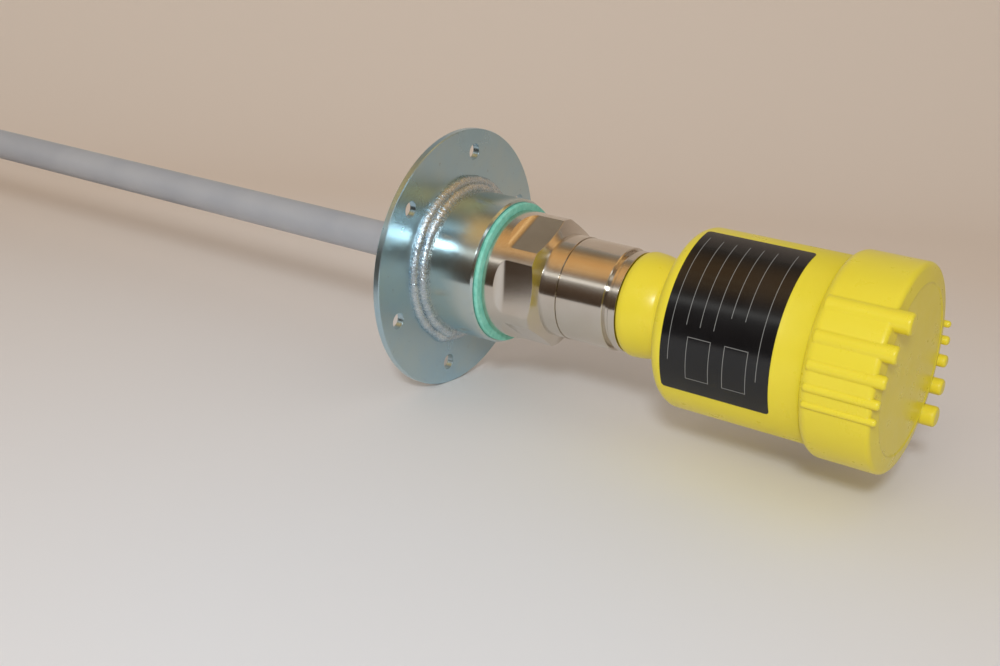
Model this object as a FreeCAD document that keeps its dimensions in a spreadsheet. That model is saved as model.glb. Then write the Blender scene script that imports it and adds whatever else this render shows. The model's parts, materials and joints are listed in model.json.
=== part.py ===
import FreeCAD, Part
import Sketcher
import os

# Capacitive level probe with an insulated rod, a screw-in process fitting, a welded
# flange and a turnable plastic housing. Millimetres and degrees. Z runs along the rod's
# axis towards the lid, and the origin is the centre of the flange's underside.

SIZES = {
    # Flange plate
    "plate_diameter": 115.0,
    "plate_thickness": 3.0,
    "plate_bore": 49.0,
    "plate_chamfer": 0.3,
    "bolt_circle": 95.0,
    "bolt_hole": 7.0,
    "bolt_count": 6,
    "bolt_phase": 19.3,
    # Threaded collar and its weld
    "collar_diameter": 63.0,
    "collar_length": 28.0,
    "collar_chamfer": 0.8,
    "collar_thread": 48.2,
    "bead_foot": 5.8,
    "bead_rise": 4.6,
    "bead_crease_out": 2.9,
    "bead_crease_up": 2.4,
    "bead_pass_radius": 2.3,
    "bead_lump_radius": 3.4,
    "bead_lump_angle": 4.0,
    # Gasket
    "gasket_outer": 60.6,
    "gasket_inner": 48.6,
    "gasket_thickness": 2.0,
    # Process fitting
    "fitting_thread": 47.8,
    "fitting_thread_length": 23.5,
    "fitting_thread_chamfer": 1.2,
    "relief_diameter": 44.6,
    "relief_width": 2.6,
    "fitting_diameter": 54.8,
    "fitting_chamfer": 0.4,
    "hex_width": 50.0,
    "hex_phase": 53.3,
    "hex_step": 5.2,
    "hex_length": 17.0,
    "hex_runout": 5.0,
    "cone_rise": 2.5,
    "boss_diameter": 43.8,
    "boss_length": 7.9,
    "rod_bore": 16.6,
    "seat_mouth": 26.0,
    "seat_depth": 3.5,
    "seat_rise": 1.5,
    "chamber_diameter": 30.0,
    "spigot_diameter": 35.0,
    "spigot_depth": 6.0,
    # Rod and its packing
    "rod_diameter": 16.0,
    "rod_length": 500.0,
    "rod_tip_radius": 3.0,
    "rod_end_wall": 6.0,
    "core_diameter": 10.0,
    "packing_height": 10.5,
    "washer_thickness": 2.0,
    "washer_bore": 17.0,
    "spring_bore": 17.4,
    "spring_outer": 28.0,
    "spring_thickness": 1.0,
    "spring_dish": 1.2,
    "nut_height": 7.5,
    "nut_slot_width": 3.0,
    "nut_slot_depth": 2.5,
    "pin_diameter": 3.0,
    "pin_thread": 4.0,
    "pin_thread_length": 8.0,
    "pin_reach": 12.0,
    # Neck sleeve
    "sleeve_diameter": 43.2,
    "sleeve_length": 21.6,
    "sleeve_chamfer": 0.35,
    "neck_groove_diameter": 39.8,
    "neck_groove_width": 2.2,
    "neck_lip_diameter": 41.8,
    "neck_lip_width": 3.3,
    "journal_diameter": 33.6,
    "sleeve_bore": 25.0,
    "bush_diameter": 27.0,
    "bush_length": 12.0,
    "o_ring_section": 2.6,
    "o_ring_groove_depth": 2.3,
    "o_ring_groove_width": 3.4,
    "o_ring_groove_up": 4.8,
    "stop_pin_diameter": 3.0,
    "stop_pin_seat": 2.4,
    "stop_pin_stand": 2.8,
    "stop_angle": 90.0,
    "retainer_thickness": 1.2,
    "retainer_groove_depth": 1.2,
    "retainer_stand": 2.0,
    "swivel_washer_thickness": 1.0,
    "swivel_washer_seat": 3.8,
    "journal_end": 1.6,
    # Housing
    "housing_diameter": 73.2,
    "housing_seam": 87.0,
    "housing_wall": 3.4,
    "housing_foot_diameter": 40.6,
    "bulge_diameter": 43.6,
    "bulge_height": 4.3,
    "bulge_lower_radius": 5.0,
    "bulge_upper_radius": 18.0,
    "waist_diameter": 38.0,
    "waist_height": 12.8,
    "shoulder_width": 5.7,
    "shoulder_rise": 6.4,
    "shoulder_round": 9.3,
    "neck_floor": 19.5,
    "counterbore_diameter": 42.0,
    "counterbore_depth": 4.5,
    "floor_corner": 2.0,
    "stop_lug_width": 5.4,
    "mouth_inset": 1.3,
    "mouth_height": 18.6,
    "mouth_step": 0.4,
    "mouth_chamfer": 0.8,
    # Nameplate
    "nameplate_angle": 114.0,
    "nameplate_height": 43.8,
    "nameplate_low": 28.7,
    "nameplate_thickness": 0.3,
    "nameplate_corner": 1.5,
    # Cable entries
    "entry_up": 67.0,
    "entry_spread": 25.0,
    "entry_boss_diameter": 27.0,
    "entry_boss_stand": 4.4,
    "entry_bore": 19.8,
    "entry_stub_inset": 0.3,
    "entry_gasket_thickness": 1.2,
    "entry_gasket_outer": 25.8,
    "gland_hex_width": 24.0,
    "gland_hex_height": 5.0,
    "gland_thread": 18.8,
    "gland_thread_length": 9.0,
    "gland_bore": 13.0,
    "gland_chamber": 15.0,
    "gland_chamber_depth": 6.0,
    "cable_bore": 9.0,
    "gland_seal_length": 8.5,
    "gland_cap_diameter": 24.6,
    "gland_cap_flats": 23.8,
    "gland_cap_skirt": 9.4,
    "gland_cap_dome": 5.0,
    "gland_cap_round": 6.0,
    "gland_cap_mouth": 11.0,
    "gland_cap_face": 15.0,
    "plug_head_diameter": 25.2,
    "plug_head_height": 3.4,
    "plug_slot_width": 2.6,
    "plug_slot_depth": 1.8,
    "plug_wall": 2.5,
    # Outer earth terminal
    "earth_up": 33.0,
    "earth_boss_diameter": 11.0,
    "earth_boss_stand": 3.0,
    "earth_thread": 4.0,
    "earth_screw_length": 5.0,
    "earth_clamp_width": 9.0,
    "earth_clamp_thickness": 1.5,
    "earth_head_diameter": 7.0,
    "earth_head_height": 2.6,
    # Electronics insert
    "insert_lift": 5.0,
    "insert_inset": 8.7,
    "insert_height": 26.0,
    "insert_wall": 2.0,
    "insert_ledge": 0.6,
    "board_up": 16.0,
    "board_thickness": 1.6,
    "socket_diameter": 7.8,
    "socket_flange": 11.0,
    "socket_flange_thickness": 1.0,
    "socket_drop": 0.7,
    "terminal_plate_gap": 0.5,
    "terminal_plate_thickness": 2.0,
    "post_inset": 3.2,
    "post_diameter": 6.8,
    "insert_screw": 2.4,
    "insert_screw_grip": 11.0,
    "insert_screw_head": 5.5,
    "insert_screw_head_height": 2.2,
    "terminal_count": 4,
    "terminal_pitch": 6.5,
    "terminal_depth": 14.0,
    "terminal_height": 11.0,
    "terminal_offset": 4.0,
    "terminal_screw": 3.8,
    "terminal_screw_height": 2.2,
    "terminal_well_depth": 3.5,
    "terminal_mouth": 4.4,
    "terminal_mouth_depth": 8.0,
    "inner_earth_width": 8.0,
    "inner_earth_height": 6.5,
    "inner_earth_offset": 16.0,
    "inner_earth_screw": 4.4,
    "inner_earth_screw_height": 2.0,
    # Lid
    "lid_overhang": 3.4,
    "lid_skirt": 2.2,
    "lid_lower_round": 4.0,
    "lid_lower_radius": 4.6,
    "lid_lower_edge": 0.5,
    "lid_height": 27.6,
    "lid_upper_round": 2.0,
    "lid_band_start": 3.2,
    "lid_band_rise": 0.7,
    "lid_ridge_inset": 7.2,
    "lid_ridge_step": 0.35,
    "lid_top_thickness": 3.6,
    "lid_thread_depth": 1.2,
    "lid_seal_section": 2.4,
    # Grip ribs of the lid, largest first
    "rib_relief": 1.0,
    "rib_rounding": 1.2,
    "rib_rounding_share": 0.95,
    "rib_start": 1.8,
    "rib_one_diameter": 8.2,
    "rib_two_diameter": 6.6,
    "rib_three_diameter": 5.0,
    "rib_four_diameter": 3.7,
    "rib_five_diameter": 2.8,
    "rib_one_stand": 5.6,
    "rib_two_stand": 4.2,
    "rib_three_stand": 3.0,
    "rib_four_stand": 2.2,
    "rib_five_stand": 1.8,
    "rib_one_angle": -107.2,
    "rib_two_angle": -88.4,
    "rib_three_angle": -73.3,
    "rib_four_angle": -61.4,
    "rib_five_angle": -51.7,
    # Clearances, and how far a cutter runs past the face that it opens
    "seat_gap": 0.05,
    "running_gap": 0.05,
    "free_gap": 0.3,
    "cutter_overrun": 1.0,
}

# Heights and places that follow from the sizes
LEVELS = {
    "collar_top": "Sizes.plate_thickness + Sizes.collar_length",
    "seal_face": "Levels.collar_top + Sizes.gasket_thickness",
    "rod_tip": "Levels.collar_top - Sizes.rod_length",
    "thread_end": "Levels.seal_face - Sizes.fitting_thread_length",
    "hex_low": "Levels.seal_face + Sizes.hex_step",
    "hex_high": "Levels.hex_low + Sizes.hex_length",
    "boss_low": "Levels.hex_high + Sizes.cone_rise",
    "joint_line": "Levels.boss_low + Sizes.boss_length",
    "spigot_low": "Levels.joint_line - Sizes.spigot_depth",
    "washer_low": "Levels.seal_face + Sizes.seat_rise + Sizes.packing_height",
    "spring_low": "Levels.washer_low + Sizes.washer_thickness",
    "spring_meet": "Levels.spring_low + Sizes.spring_dish + Sizes.spring_thickness",
    "nut_low": "2 * Levels.spring_meet - Levels.spring_low",
    "core_top": "Levels.joint_line",
    "groove_low": "Levels.joint_line + Sizes.sleeve_length",
    "lip_low": "Levels.groove_low + Sizes.neck_groove_width",
    "housing_low": "Levels.lip_low + Sizes.neck_lip_width + Sizes.free_gap",
    "counterbore_low": "Levels.housing_low + Sizes.neck_floor",
    "floor": "Levels.counterbore_low + Sizes.counterbore_depth",
    "stop_height": "Levels.counterbore_low + Sizes.counterbore_depth / 2",
    "retainer_low": "Levels.floor + Sizes.seat_gap + Sizes.swivel_washer_thickness",
    "journal_top": "Levels.retainer_low + Sizes.retainer_thickness + Sizes.journal_end",
    "insert_low": "Levels.floor + Sizes.insert_lift",
    "plate_low": "Levels.insert_low + Sizes.insert_height",
    "plate_high": "Levels.plate_low + Sizes.terminal_plate_thickness",
    "pin_top": "Levels.insert_low + Sizes.pin_reach",
    "entry_height": "Levels.housing_low + Sizes.entry_up",
    "earth_height": "Levels.housing_low + Sizes.earth_up",
    "seam": "Levels.housing_low + Sizes.housing_seam",
    "mouth_top": "Levels.seam + Sizes.mouth_height",
    "lid_low": "Levels.seam - Sizes.lid_skirt - Sizes.mouth_step",
    "lid_face": "Levels.lid_low + Sizes.lid_height",
    "lid_inside": "Levels.lid_face - Sizes.lid_top_thickness",
    "housing_radius": "Sizes.housing_diameter / 2",
    "chamber_radius": "Levels.housing_radius - Sizes.housing_wall",
    "shoulder_low_radius": "Levels.housing_radius - Sizes.shoulder_width",
    "shoulder_radius": "(Sizes.shoulder_width ^ 2 + Sizes.shoulder_round ^ 2) / (2 * Sizes.shoulder_width)",
    "mouth_radius": "Levels.housing_radius - Sizes.mouth_inset",
    "entry_face": "Levels.housing_radius + Sizes.entry_boss_stand",
    "earth_face": "Levels.housing_radius + Sizes.earth_boss_stand",
    "post_radius": "Levels.chamber_radius - Sizes.post_inset",
    "insert_radius": "Levels.chamber_radius - Sizes.insert_inset",
    "insert_bore": "Levels.insert_radius - Sizes.insert_wall",
    "lid_radius": "Levels.housing_radius + Sizes.lid_overhang",
    "lid_ridge_radius": "Levels.lid_radius - Sizes.lid_ridge_inset",
    "lid_thread_radius": "Levels.mouth_radius + Sizes.lid_thread_depth",
    "rib_reach": "Levels.lid_radius + Sizes.rib_relief",
}

doc = FreeCAD.newDocument("LevelProbe")
sheet = doc.addObject("Spreadsheet::Sheet", "Sizes")
levels = doc.addObject("App::VarSet", "Levels")
nodes = []


# Sheet, levels and evaluation

def fill_sheet():
    for row, (name, size) in enumerate(SIZES.items(), start=1):
        sheet.set(f"A{row}", name)
        sheet.set(f"B{row}", str(size))
        sheet.setAlias(f"B{row}", name)
    doc.recompute()


def fill_levels():
    for name, expression in LEVELS.items():
        levels.addProperty("App::PropertyFloat", name, "Levels")
        levels.setExpression(name, expression)
    doc.recompute()


def number(expression):
    """The value of an expression on the sizes and levels."""
    return float(sheet.evalExpression(expression))


def half(name):
    return f"Sizes.{name} / 2"


# Sketches

def origin_plane(body, role):
    for feature in body.Origin.OriginFeatures:
        if feature.Role == role:
            return feature
    raise ValueError(role)


def new_sketch(body, name, role="XZ_Plane"):
    sketch = body.newObject("Sketcher::SketchObject", name)
    sketch.AttachmentSupport = (origin_plane(body, role), [""])
    sketch.MapMode = "FlatFace"
    return sketch


def arc_centre(start, end, radius, side):
    """Centre of the arc between two points; side 1 puts it left of the way from start to end."""
    chord = end - start
    middle = (start + end) * 0.5
    offset = max(radius ** 2 - (chord.Length / 2) ** 2, 0.0) ** 0.5
    normal = FreeCAD.Vector(-chord.y, chord.x, 0).normalize()
    return middle + normal * offset * side


def bind_point(sketch, constraints, bindings, geometry, index, x_text, y_text):
    """Ties a sketch point to two expressions, or to an axis where the expression is 0."""
    for kind, axis, text in (("DistanceX", -2, x_text), ("DistanceY", -1, y_text)):
        if text == "0":
            constraints.append(Sketcher.Constraint("PointOnObject", geometry, index, axis))
        else:
            bindings.append((len(constraints), text))
            constraints.append(Sketcher.Constraint(kind, -1, 1, geometry, index, number(text)))


def draw_outline(sketch, outline):
    """Closed outline of corners (x, y); (x, y, radius, side) ends an arc that starts at the last corner."""
    corners = [FreeCAD.Vector(number(point[0]), number(point[1]), 0) for point in outline]
    geometry = []
    constraints = []
    bindings = []
    count = len(outline)
    starts = []
    for place in range(count):
        start = corners[place]
        end = corners[(place + 1) % count]
        point = outline[(place + 1) % count]
        if len(point) == 2:
            geometry.append(Part.LineSegment(start, end))
            starts.append((1, 2))
            continue
        radius = number(point[2])
        centre = arc_centre(start, end, radius, point[3])
        towards_start = start - centre
        towards_end = end - centre
        first = FreeCAD.Vector(1, 0, 0).getAngle(towards_start) * (1 if towards_start.y >= 0 else -1)
        last = FreeCAD.Vector(1, 0, 0).getAngle(towards_end) * (1 if towards_end.y >= 0 else -1)
        circle = Part.Circle(centre, FreeCAD.Vector(0, 0, 1), radius)
        if point[3] > 0:
            geometry.append(Part.ArcOfCircle(circle, first, last))
            starts.append((1, 2))
        else:
            geometry.append(Part.ArcOfCircle(circle, last, first))
            starts.append((2, 1))
        bindings.append((len(constraints), point[2]))
        constraints.append(Sketcher.Constraint("Radius", place, radius))
    sketch.addGeometry(geometry, False)
    for place in range(count):
        after = (place + 1) % count
        constraints.append(
            Sketcher.Constraint("Coincident", place, starts[place][1], after, starts[after][0]))
        bind_point(sketch, constraints, bindings, place, starts[place][0], *outline[place][:2])
    add_constraints(sketch, constraints, bindings)


def draw_circle(sketch, x_text, y_text, radius_text):
    centre = FreeCAD.Vector(number(x_text), number(y_text), 0)
    sketch.addGeometry(Part.Circle(centre, FreeCAD.Vector(0, 0, 1), number(radius_text)), False)
    constraints = [Sketcher.Constraint("Radius", 0, number(radius_text))]
    bindings = [(0, radius_text)]
    bind_point(sketch, constraints, bindings, 0, 3, x_text, y_text)
    add_constraints(sketch, constraints, bindings)


def add_constraints(sketch, constraints, bindings):
    sketch.addConstraint(constraints)
    for place, text in bindings:
        sketch.setExpression(f"Constraints[{place}]", text)


# Building blocks

def turned(name, outline, angle="360"):
    """Body turned about Z from an outline of (radius, height) corners."""
    body = doc.addObject("PartDesign::Body", name)
    sketch = new_sketch(body, name + "_outline")
    draw_outline(sketch, outline)
    revolution = body.newObject("PartDesign::Revolution", name + "_turn")
    revolution.Profile = sketch
    revolution.ReferenceAxis = (sketch, ["V_Axis"])
    revolution.setExpression("Angle", angle)
    return body


def ring(name, inner, outer, low, high):
    return turned(name, [(inner, low), (outer, low), (outer, high), (inner, high)])


def rod(name, radius, low, high):
    return ring(name, "0", radius, low, high)


def torus(name, centre_radius, height, section_radius):
    solid = doc.addObject("Part::Torus", name)
    solid.setExpression("Radius1", centre_radius)
    solid.setExpression("Radius2", section_radius)
    solid.setExpression("Placement.Base.z", height)
    return solid


def box(name, size_texts, corner_texts):
    solid = doc.addObject("Part::Box", name)
    for key, text in zip(("Length", "Width", "Height"), size_texts):
        solid.setExpression(key, text)
    for key, text in zip("xyz", corner_texts):
        solid.setExpression(f"Placement.Base.{key}", text)
    return solid


def cylinder(name, radius, height, base_texts):
    solid = doc.addObject("Part::Cylinder", name)
    solid.setExpression("Radius", radius)
    solid.setExpression("Height", height)
    for key, text in zip("xyz", base_texts):
        solid.setExpression(f"Placement.Base.{key}", text)
    return solid


def fused(name, solids):
    fusion = doc.addObject("Part::MultiFuse", name)
    fusion.Shapes = solids
    return fusion


def cut(name, base, tool):
    difference = doc.addObject("Part::Cut", name)
    difference.Base = base
    difference.Tool = tool
    return difference


def radial(solid, angle_text, height_text):
    """Turns a solid's own Z outwards, at an angle about the axis and a height on it."""
    about_axis = FreeCAD.Rotation(FreeCAD.Vector(0, 0, 1), number(angle_text))
    outwards = FreeCAD.Rotation(FreeCAD.Vector(0, 1, 0), 90)
    base = FreeCAD.Vector(0, 0, number(height_text))
    solid.Placement = FreeCAD.Placement(base, about_axis * outwards)
    solid.setExpression("Placement.Base.z", height_text)
    return solid


def node(solid):
    """Marks a finished sub-part; its Label is the file's name."""
    solid.Label = solid.Name
    nodes.append(solid)
    return solid


# Flange plate, collar, weld and gasket

def flange_plate():
    bevel = "Sizes.plate_chamfer"
    edge = half("plate_diameter")
    top = "Sizes.plate_thickness"
    body = turned("flange_plate", [
        (half("plate_bore"), "0"),
        (f"{edge} - {bevel}", "0"),
        (edge, bevel),
        (edge, f"{top} - {bevel}"),
        (f"{edge} - {bevel}", top),
        (half("plate_bore"), top),
    ])
    sketch = new_sketch(body, "bolt_hole_circle", "XY_Plane")
    draw_circle(sketch, half("bolt_circle"), "0", half("bolt_hole"))
    pocket = body.newObject("PartDesign::Pocket", "bolt_hole_cut")
    pocket.Profile = sketch
    pocket.Reversed = True
    pocket.setExpression("Length", f"2 * {top}")
    pattern = body.newObject("PartDesign::PolarPattern", "bolt_holes")
    pattern.Originals = [pocket]
    pattern.Axis = (sketch, ["N_Axis"])
    pattern.Angle = 360
    pattern.setExpression("Occurrences", "Sizes.bolt_count")
    body.Tip = pattern
    body.Placement = FreeCAD.Placement(
        FreeCAD.Vector(), FreeCAD.Rotation(FreeCAD.Vector(0, 0, 1), number("Sizes.bolt_phase")))
    node(body)


def threaded_collar():
    outer = half("collar_diameter")
    bore = half("collar_thread")
    bevel = "Sizes.collar_chamfer"
    low = "Sizes.plate_thickness"
    node(turned("threaded_collar", [
        (bore, low),
        (outer, low),
        (outer, f"Levels.collar_top - {bevel}"),
        (f"{outer} - {bevel}", "Levels.collar_top"),
        (f"{bore} + {bevel}", "Levels.collar_top"),
        (bore, f"Levels.collar_top - {bevel}"),
    ]))


def weld_bead():
    """Fillet weld of two passes with the lump where it starts and stops."""
    collar = half("collar_diameter")
    low = "Sizes.plate_thickness"
    passes = turned("weld_passes", [
        (collar, low),
        (f"{collar} + Sizes.bead_foot", low),
        (f"{collar} + Sizes.bead_crease_out", f"{low} + Sizes.bead_crease_up", "Sizes.bead_pass_radius", 1),
        (collar, f"{low} + Sizes.bead_rise", "Sizes.bead_pass_radius", 1),
    ])
    lump = doc.addObject("Part::Sphere", "weld_lump_ball")
    lump.setExpression("Radius", "Sizes.bead_lump_radius")
    reach = f"({collar} + Sizes.bead_crease_out)"
    lump.setExpression("Placement.Base.x", f"{reach} * cos(Sizes.bead_lump_angle)")
    lump.setExpression("Placement.Base.y", f"{reach} * sin(Sizes.bead_lump_angle)")
    lump.setExpression("Placement.Base.z", low)
    occupied = fused("weld_neighbours", [
        cylinder("weld_collar_space", collar, f"{low} + 2 * Sizes.bead_lump_radius", ("0", "0", "0")),
        cylinder("weld_plate_space", half("plate_diameter"), f"{low} + Sizes.bead_lump_radius",
                 ("0", "0", "-Sizes.bead_lump_radius")),
    ])
    node(fused("weld_bead", [passes, cut("weld_lump", lump, occupied)]))


def seal_ring():
    node(ring("seal_ring", half("gasket_inner"), half("gasket_outer"), "Levels.collar_top", "Levels.seal_face"))


# Process fitting with its milled flats

def process_fitting():
    thread = half("fitting_thread")
    relief = half("relief_diameter")
    flange = half("fitting_diameter")
    boss = half("boss_diameter")
    spigot = half("spigot_diameter")
    chamber = half("chamber_diameter")
    bore = half("rod_bore")
    bevel = "Sizes.fitting_chamfer"
    lead = "Sizes.fitting_thread_chamfer"
    relief_low = "Levels.seal_face - Sizes.relief_width"
    body = turned("process_fitting", [
        (bore, "Levels.thread_end"),
        (f"{thread} - {lead}", "Levels.thread_end"),
        (thread, f"Levels.thread_end + {lead}"),
        (thread, f"{relief_low} - ({thread} - {relief})"),
        (relief, relief_low),
        (relief, "Levels.seal_face"),
        (f"{flange} - {bevel}", "Levels.seal_face"),
        (flange, f"Levels.seal_face + {bevel}"),
        (flange, "Levels.hex_high"),
        (boss, "Levels.boss_low"),
        (boss, "Levels.joint_line"),
        (spigot, "Levels.joint_line"),
        (spigot, "Levels.spigot_low"),
        (chamber, "Levels.spigot_low"),
        (chamber, "Levels.seal_face + Sizes.seat_rise"),
        (half("seat_mouth"), "Levels.seal_face + Sizes.seat_rise"),
        (bore, "Levels.seal_face + Sizes.seat_rise - Sizes.seat_depth"),
    ])
    # One flat, milled in from the boss's side, with the cutter's round where it stops
    flat = half("hex_width")
    clear = f"{flange} + Sizes.hex_runout"
    sketch = new_sketch(body, "flat_outline")
    draw_outline(sketch, [
        (flat, "Levels.boss_low + Sizes.cone_rise"),
        (flat, "Levels.hex_low + Sizes.hex_runout"),
        (f"{flat} + Sizes.hex_runout", "Levels.hex_low", "Sizes.hex_runout", 1),
        (clear, "Levels.hex_low"),
        (clear, "Levels.boss_low + Sizes.cone_rise"),
    ])
    pocket = body.newObject("PartDesign::Pocket", "flat_cut")
    pocket.Profile = sketch
    pocket.SideType = "Symmetric"
    pocket.setExpression("Length", "2 * Sizes.fitting_diameter")
    pattern = body.newObject("PartDesign::PolarPattern", "six_flats")
    pattern.Originals = [pocket]
    pattern.Axis = (sketch, ["V_Axis"])
    pattern.Angle = 360
    pattern.Occurrences = 6
    body.Tip = pattern
    body.Placement = FreeCAD.Placement(
        FreeCAD.Vector(), FreeCAD.Rotation(FreeCAD.Vector(0, 0, 1), number("Sizes.hex_phase")))
    node(body)


# Rod, packing and contact pin

def rod_insulation():
    """Tube closed at its lower end; its own height starts at the tip."""
    outer = half("rod_diameter")
    core = f"{half('core_diameter')} + Sizes.seat_gap"
    length = "Levels.nut_low + Sizes.nut_height - Levels.rod_tip"
    body = turned("rod_insulation", [
        ("0", "0"),
        (f"{outer} - Sizes.rod_tip_radius", "0"),
        (outer, "Sizes.rod_tip_radius", "Sizes.rod_tip_radius", 1),
        (outer, length),
        (core, length),
        (core, "Sizes.rod_end_wall"),
        ("0", "Sizes.rod_end_wall"),
    ])
    body.setExpression("Placement.Base.z", "Levels.rod_tip")
    node(body)


def rod_core():
    core = half("core_diameter")
    tap = half("pin_thread")
    low = "Sizes.rod_end_wall + Sizes.seat_gap"
    top = "Levels.core_top - Levels.rod_tip"
    body = turned("rod_core", [
        ("0", low),
        (core, low),
        (core, top),
        (tap, top),
        (tap, f"{top} - Sizes.pin_thread_length"),
        ("0", f"{top} - Sizes.pin_thread_length"),
    ])
    body.setExpression("Placement.Base.z", "Levels.rod_tip")
    node(body)


def sealing_cone():
    gap = "Sizes.seat_gap"
    seat = "Levels.seal_face + Sizes.seat_rise"
    inner = f"{half('rod_diameter')} + {gap}"
    outer = f"{half('chamber_diameter')} - {gap}"
    node(turned("sealing_cone", [
        (inner, f"{seat} - Sizes.seat_depth + 2 * {gap}"),
        (f"{half('rod_bore')} - {gap}", f"{seat} - Sizes.seat_depth + 2 * {gap}"),
        (f"{half('seat_mouth')} - {gap}", f"{seat} + {gap}"),
        (outer, f"{seat} + {gap}"),
        (outer, "Levels.washer_low"),
        (inner, "Levels.washer_low"),
    ]))


def thrust_washer():
    outer = f"{half('chamber_diameter')} - Sizes.seat_gap"
    node(ring("thrust_washer", half("washer_bore"), outer, "Levels.washer_low", "Levels.spring_low"))


def disc_springs():
    """Two dished washers, inner edges together."""
    inner = half("spring_bore")
    outer = half("spring_outer")
    thick = "Sizes.spring_thickness"
    node(turned("disc_spring_lower", [
        (inner, f"Levels.spring_meet - {thick}"),
        (outer, "Levels.spring_low"),
        (outer, f"Levels.spring_low + {thick}"),
        (inner, "Levels.spring_meet"),
    ]))
    node(turned("disc_spring_upper", [
        (inner, "Levels.spring_meet"),
        (outer, f"Levels.nut_low - {thick}"),
        (outer, "Levels.nut_low"),
        (inner, f"Levels.spring_meet + {thick}"),
    ]))


def packing_nut():
    outer = f"{half('chamber_diameter')} - Sizes.seat_gap"
    top = "Levels.nut_low + Sizes.nut_height"
    blank = ring("nut_blank", half("spring_bore"), outer, "Levels.nut_low", top)
    slot = box(
        "nut_slot",
        ("Sizes.chamber_diameter", "Sizes.nut_slot_width", "2 * Sizes.nut_slot_depth"),
        (f"-{half('chamber_diameter')}", f"-{half('nut_slot_width')}", f"{top} - Sizes.nut_slot_depth"))
    node(cut("packing_nut", blank, slot))


def contact_pin():
    thin = half("pin_diameter")
    thread = f"{half('pin_thread')} - Sizes.seat_gap"
    low = "Levels.core_top - Sizes.pin_thread_length + Sizes.seat_gap"
    node(turned("contact_pin", [
        ("0", low),
        (thread, low),
        (thread, "Levels.core_top"),
        (thin, "Levels.core_top"),
        (thin, f"Levels.pin_top - {thin}"),
        ("0", "Levels.pin_top", thin, 1),
    ]))


# Neck sleeve with what holds and stops the housing

def neck_sleeve():
    outer = half("sleeve_diameter")
    spigot = f"{half('spigot_diameter')} - Sizes.seat_gap"
    low = "Levels.spigot_low + Sizes.seat_gap"
    groove = half("neck_groove_diameter")
    lip = half("neck_lip_diameter")
    lip_high = "Levels.lip_low + Sizes.neck_lip_width"
    journal = half("journal_diameter")
    bevel = "Sizes.sleeve_chamfer"
    ring_low = f"{lip_high} + Sizes.o_ring_groove_up"
    ring_high = f"{ring_low} + Sizes.o_ring_groove_width"
    clip_high = "Levels.retainer_low + Sizes.retainer_thickness + Sizes.seat_gap"
    bush = half("bush_diameter")
    bore = half("sleeve_bore")
    blank = turned("sleeve_blank", [
        (bore, low),
        (spigot, low),
        (spigot, "Levels.joint_line"),
        (f"{outer} - {bevel}", "Levels.joint_line"),
        (outer, f"Levels.joint_line + {bevel}"),
        (outer, f"Levels.groove_low - {bevel}"),
        (f"{outer} - {bevel}", "Levels.groove_low"),
        (groove, "Levels.groove_low"),
        (groove, "Levels.lip_low"),
        (f"{lip} - {bevel}", "Levels.lip_low"),
        (lip, f"Levels.lip_low + {bevel}"),
        (lip, lip_high),
        (journal, lip_high),
        (journal, ring_low),
        (f"{journal} - Sizes.o_ring_groove_depth", ring_low),
        (f"{journal} - Sizes.o_ring_groove_depth", ring_high),
        (journal, ring_high),
        (journal, "Levels.retainer_low"),
        (f"{journal} - Sizes.retainer_groove_depth", "Levels.retainer_low"),
        (f"{journal} - Sizes.retainer_groove_depth", clip_high),
        (journal, clip_high),
        (journal, "Levels.journal_top"),
        (bush, "Levels.journal_top"),
        (bush, "Levels.journal_top - Sizes.bush_length"),
        (bore, "Levels.journal_top - Sizes.bush_length"),
    ])
    seat = f"{journal} - Sizes.stop_pin_seat"
    hole = rod("stop_pin_hole", f"{half('stop_pin_diameter')} + Sizes.seat_gap", seat, half("sleeve_diameter"))
    radial(hole, "Sizes.stop_angle", "Levels.stop_height")
    node(cut("neck_sleeve", blank, hole))


def feedthrough_bush():
    outer = f"{half('bush_diameter')} - Sizes.seat_gap"
    inner = f"{half('pin_diameter')} + Sizes.seat_gap"
    low = "Levels.journal_top - Sizes.bush_length"
    node(ring("feedthrough_bush", inner, outer, low, "Levels.journal_top"))


def neck_o_ring():
    section = half("o_ring_section")
    lip_high = "Levels.lip_low + Sizes.neck_lip_width"
    root = f"{half('journal_diameter')} - Sizes.o_ring_groove_depth"
    height = f"{lip_high} + Sizes.o_ring_groove_up + {half('o_ring_groove_width')}"
    node(torus("neck_o_ring", f"{root} + {section}", height, section))


def stop_pin():
    journal = half("journal_diameter")
    low = f"{journal} - Sizes.stop_pin_seat + Sizes.seat_gap"
    pin = rod("stop_pin", half("stop_pin_diameter"), low, f"{journal} + Sizes.stop_pin_stand")
    node(radial(pin, "Sizes.stop_angle", "Levels.stop_height"))


def swivel_washer():
    inner = f"{half('journal_diameter')} + Sizes.seat_gap"
    low = "Levels.floor + Sizes.seat_gap"
    outer = f"{half('counterbore_diameter')} + Sizes.swivel_washer_seat"
    node(ring("swivel_washer", inner, outer, low, "Levels.retainer_low"))


def retaining_ring():
    journal = half("journal_diameter")
    root = f"{journal} - Sizes.retainer_groove_depth + Sizes.seat_gap"
    high = "Levels.retainer_low + Sizes.retainer_thickness"
    closed = ring("retaining_ring_blank", root, f"{journal} + Sizes.retainer_stand", "Levels.retainer_low", high)
    mouth = box(
        "retaining_ring_mouth",
        (half("sleeve_diameter"), "Sizes.stop_pin_diameter", "2 * Sizes.retainer_thickness"),
        ("0", f"-{half('stop_pin_diameter')}", f"Levels.retainer_low - {half('retainer_thickness')}"))
    node(cut("retaining_ring", closed, mouth))


# Housing and nameplate

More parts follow.
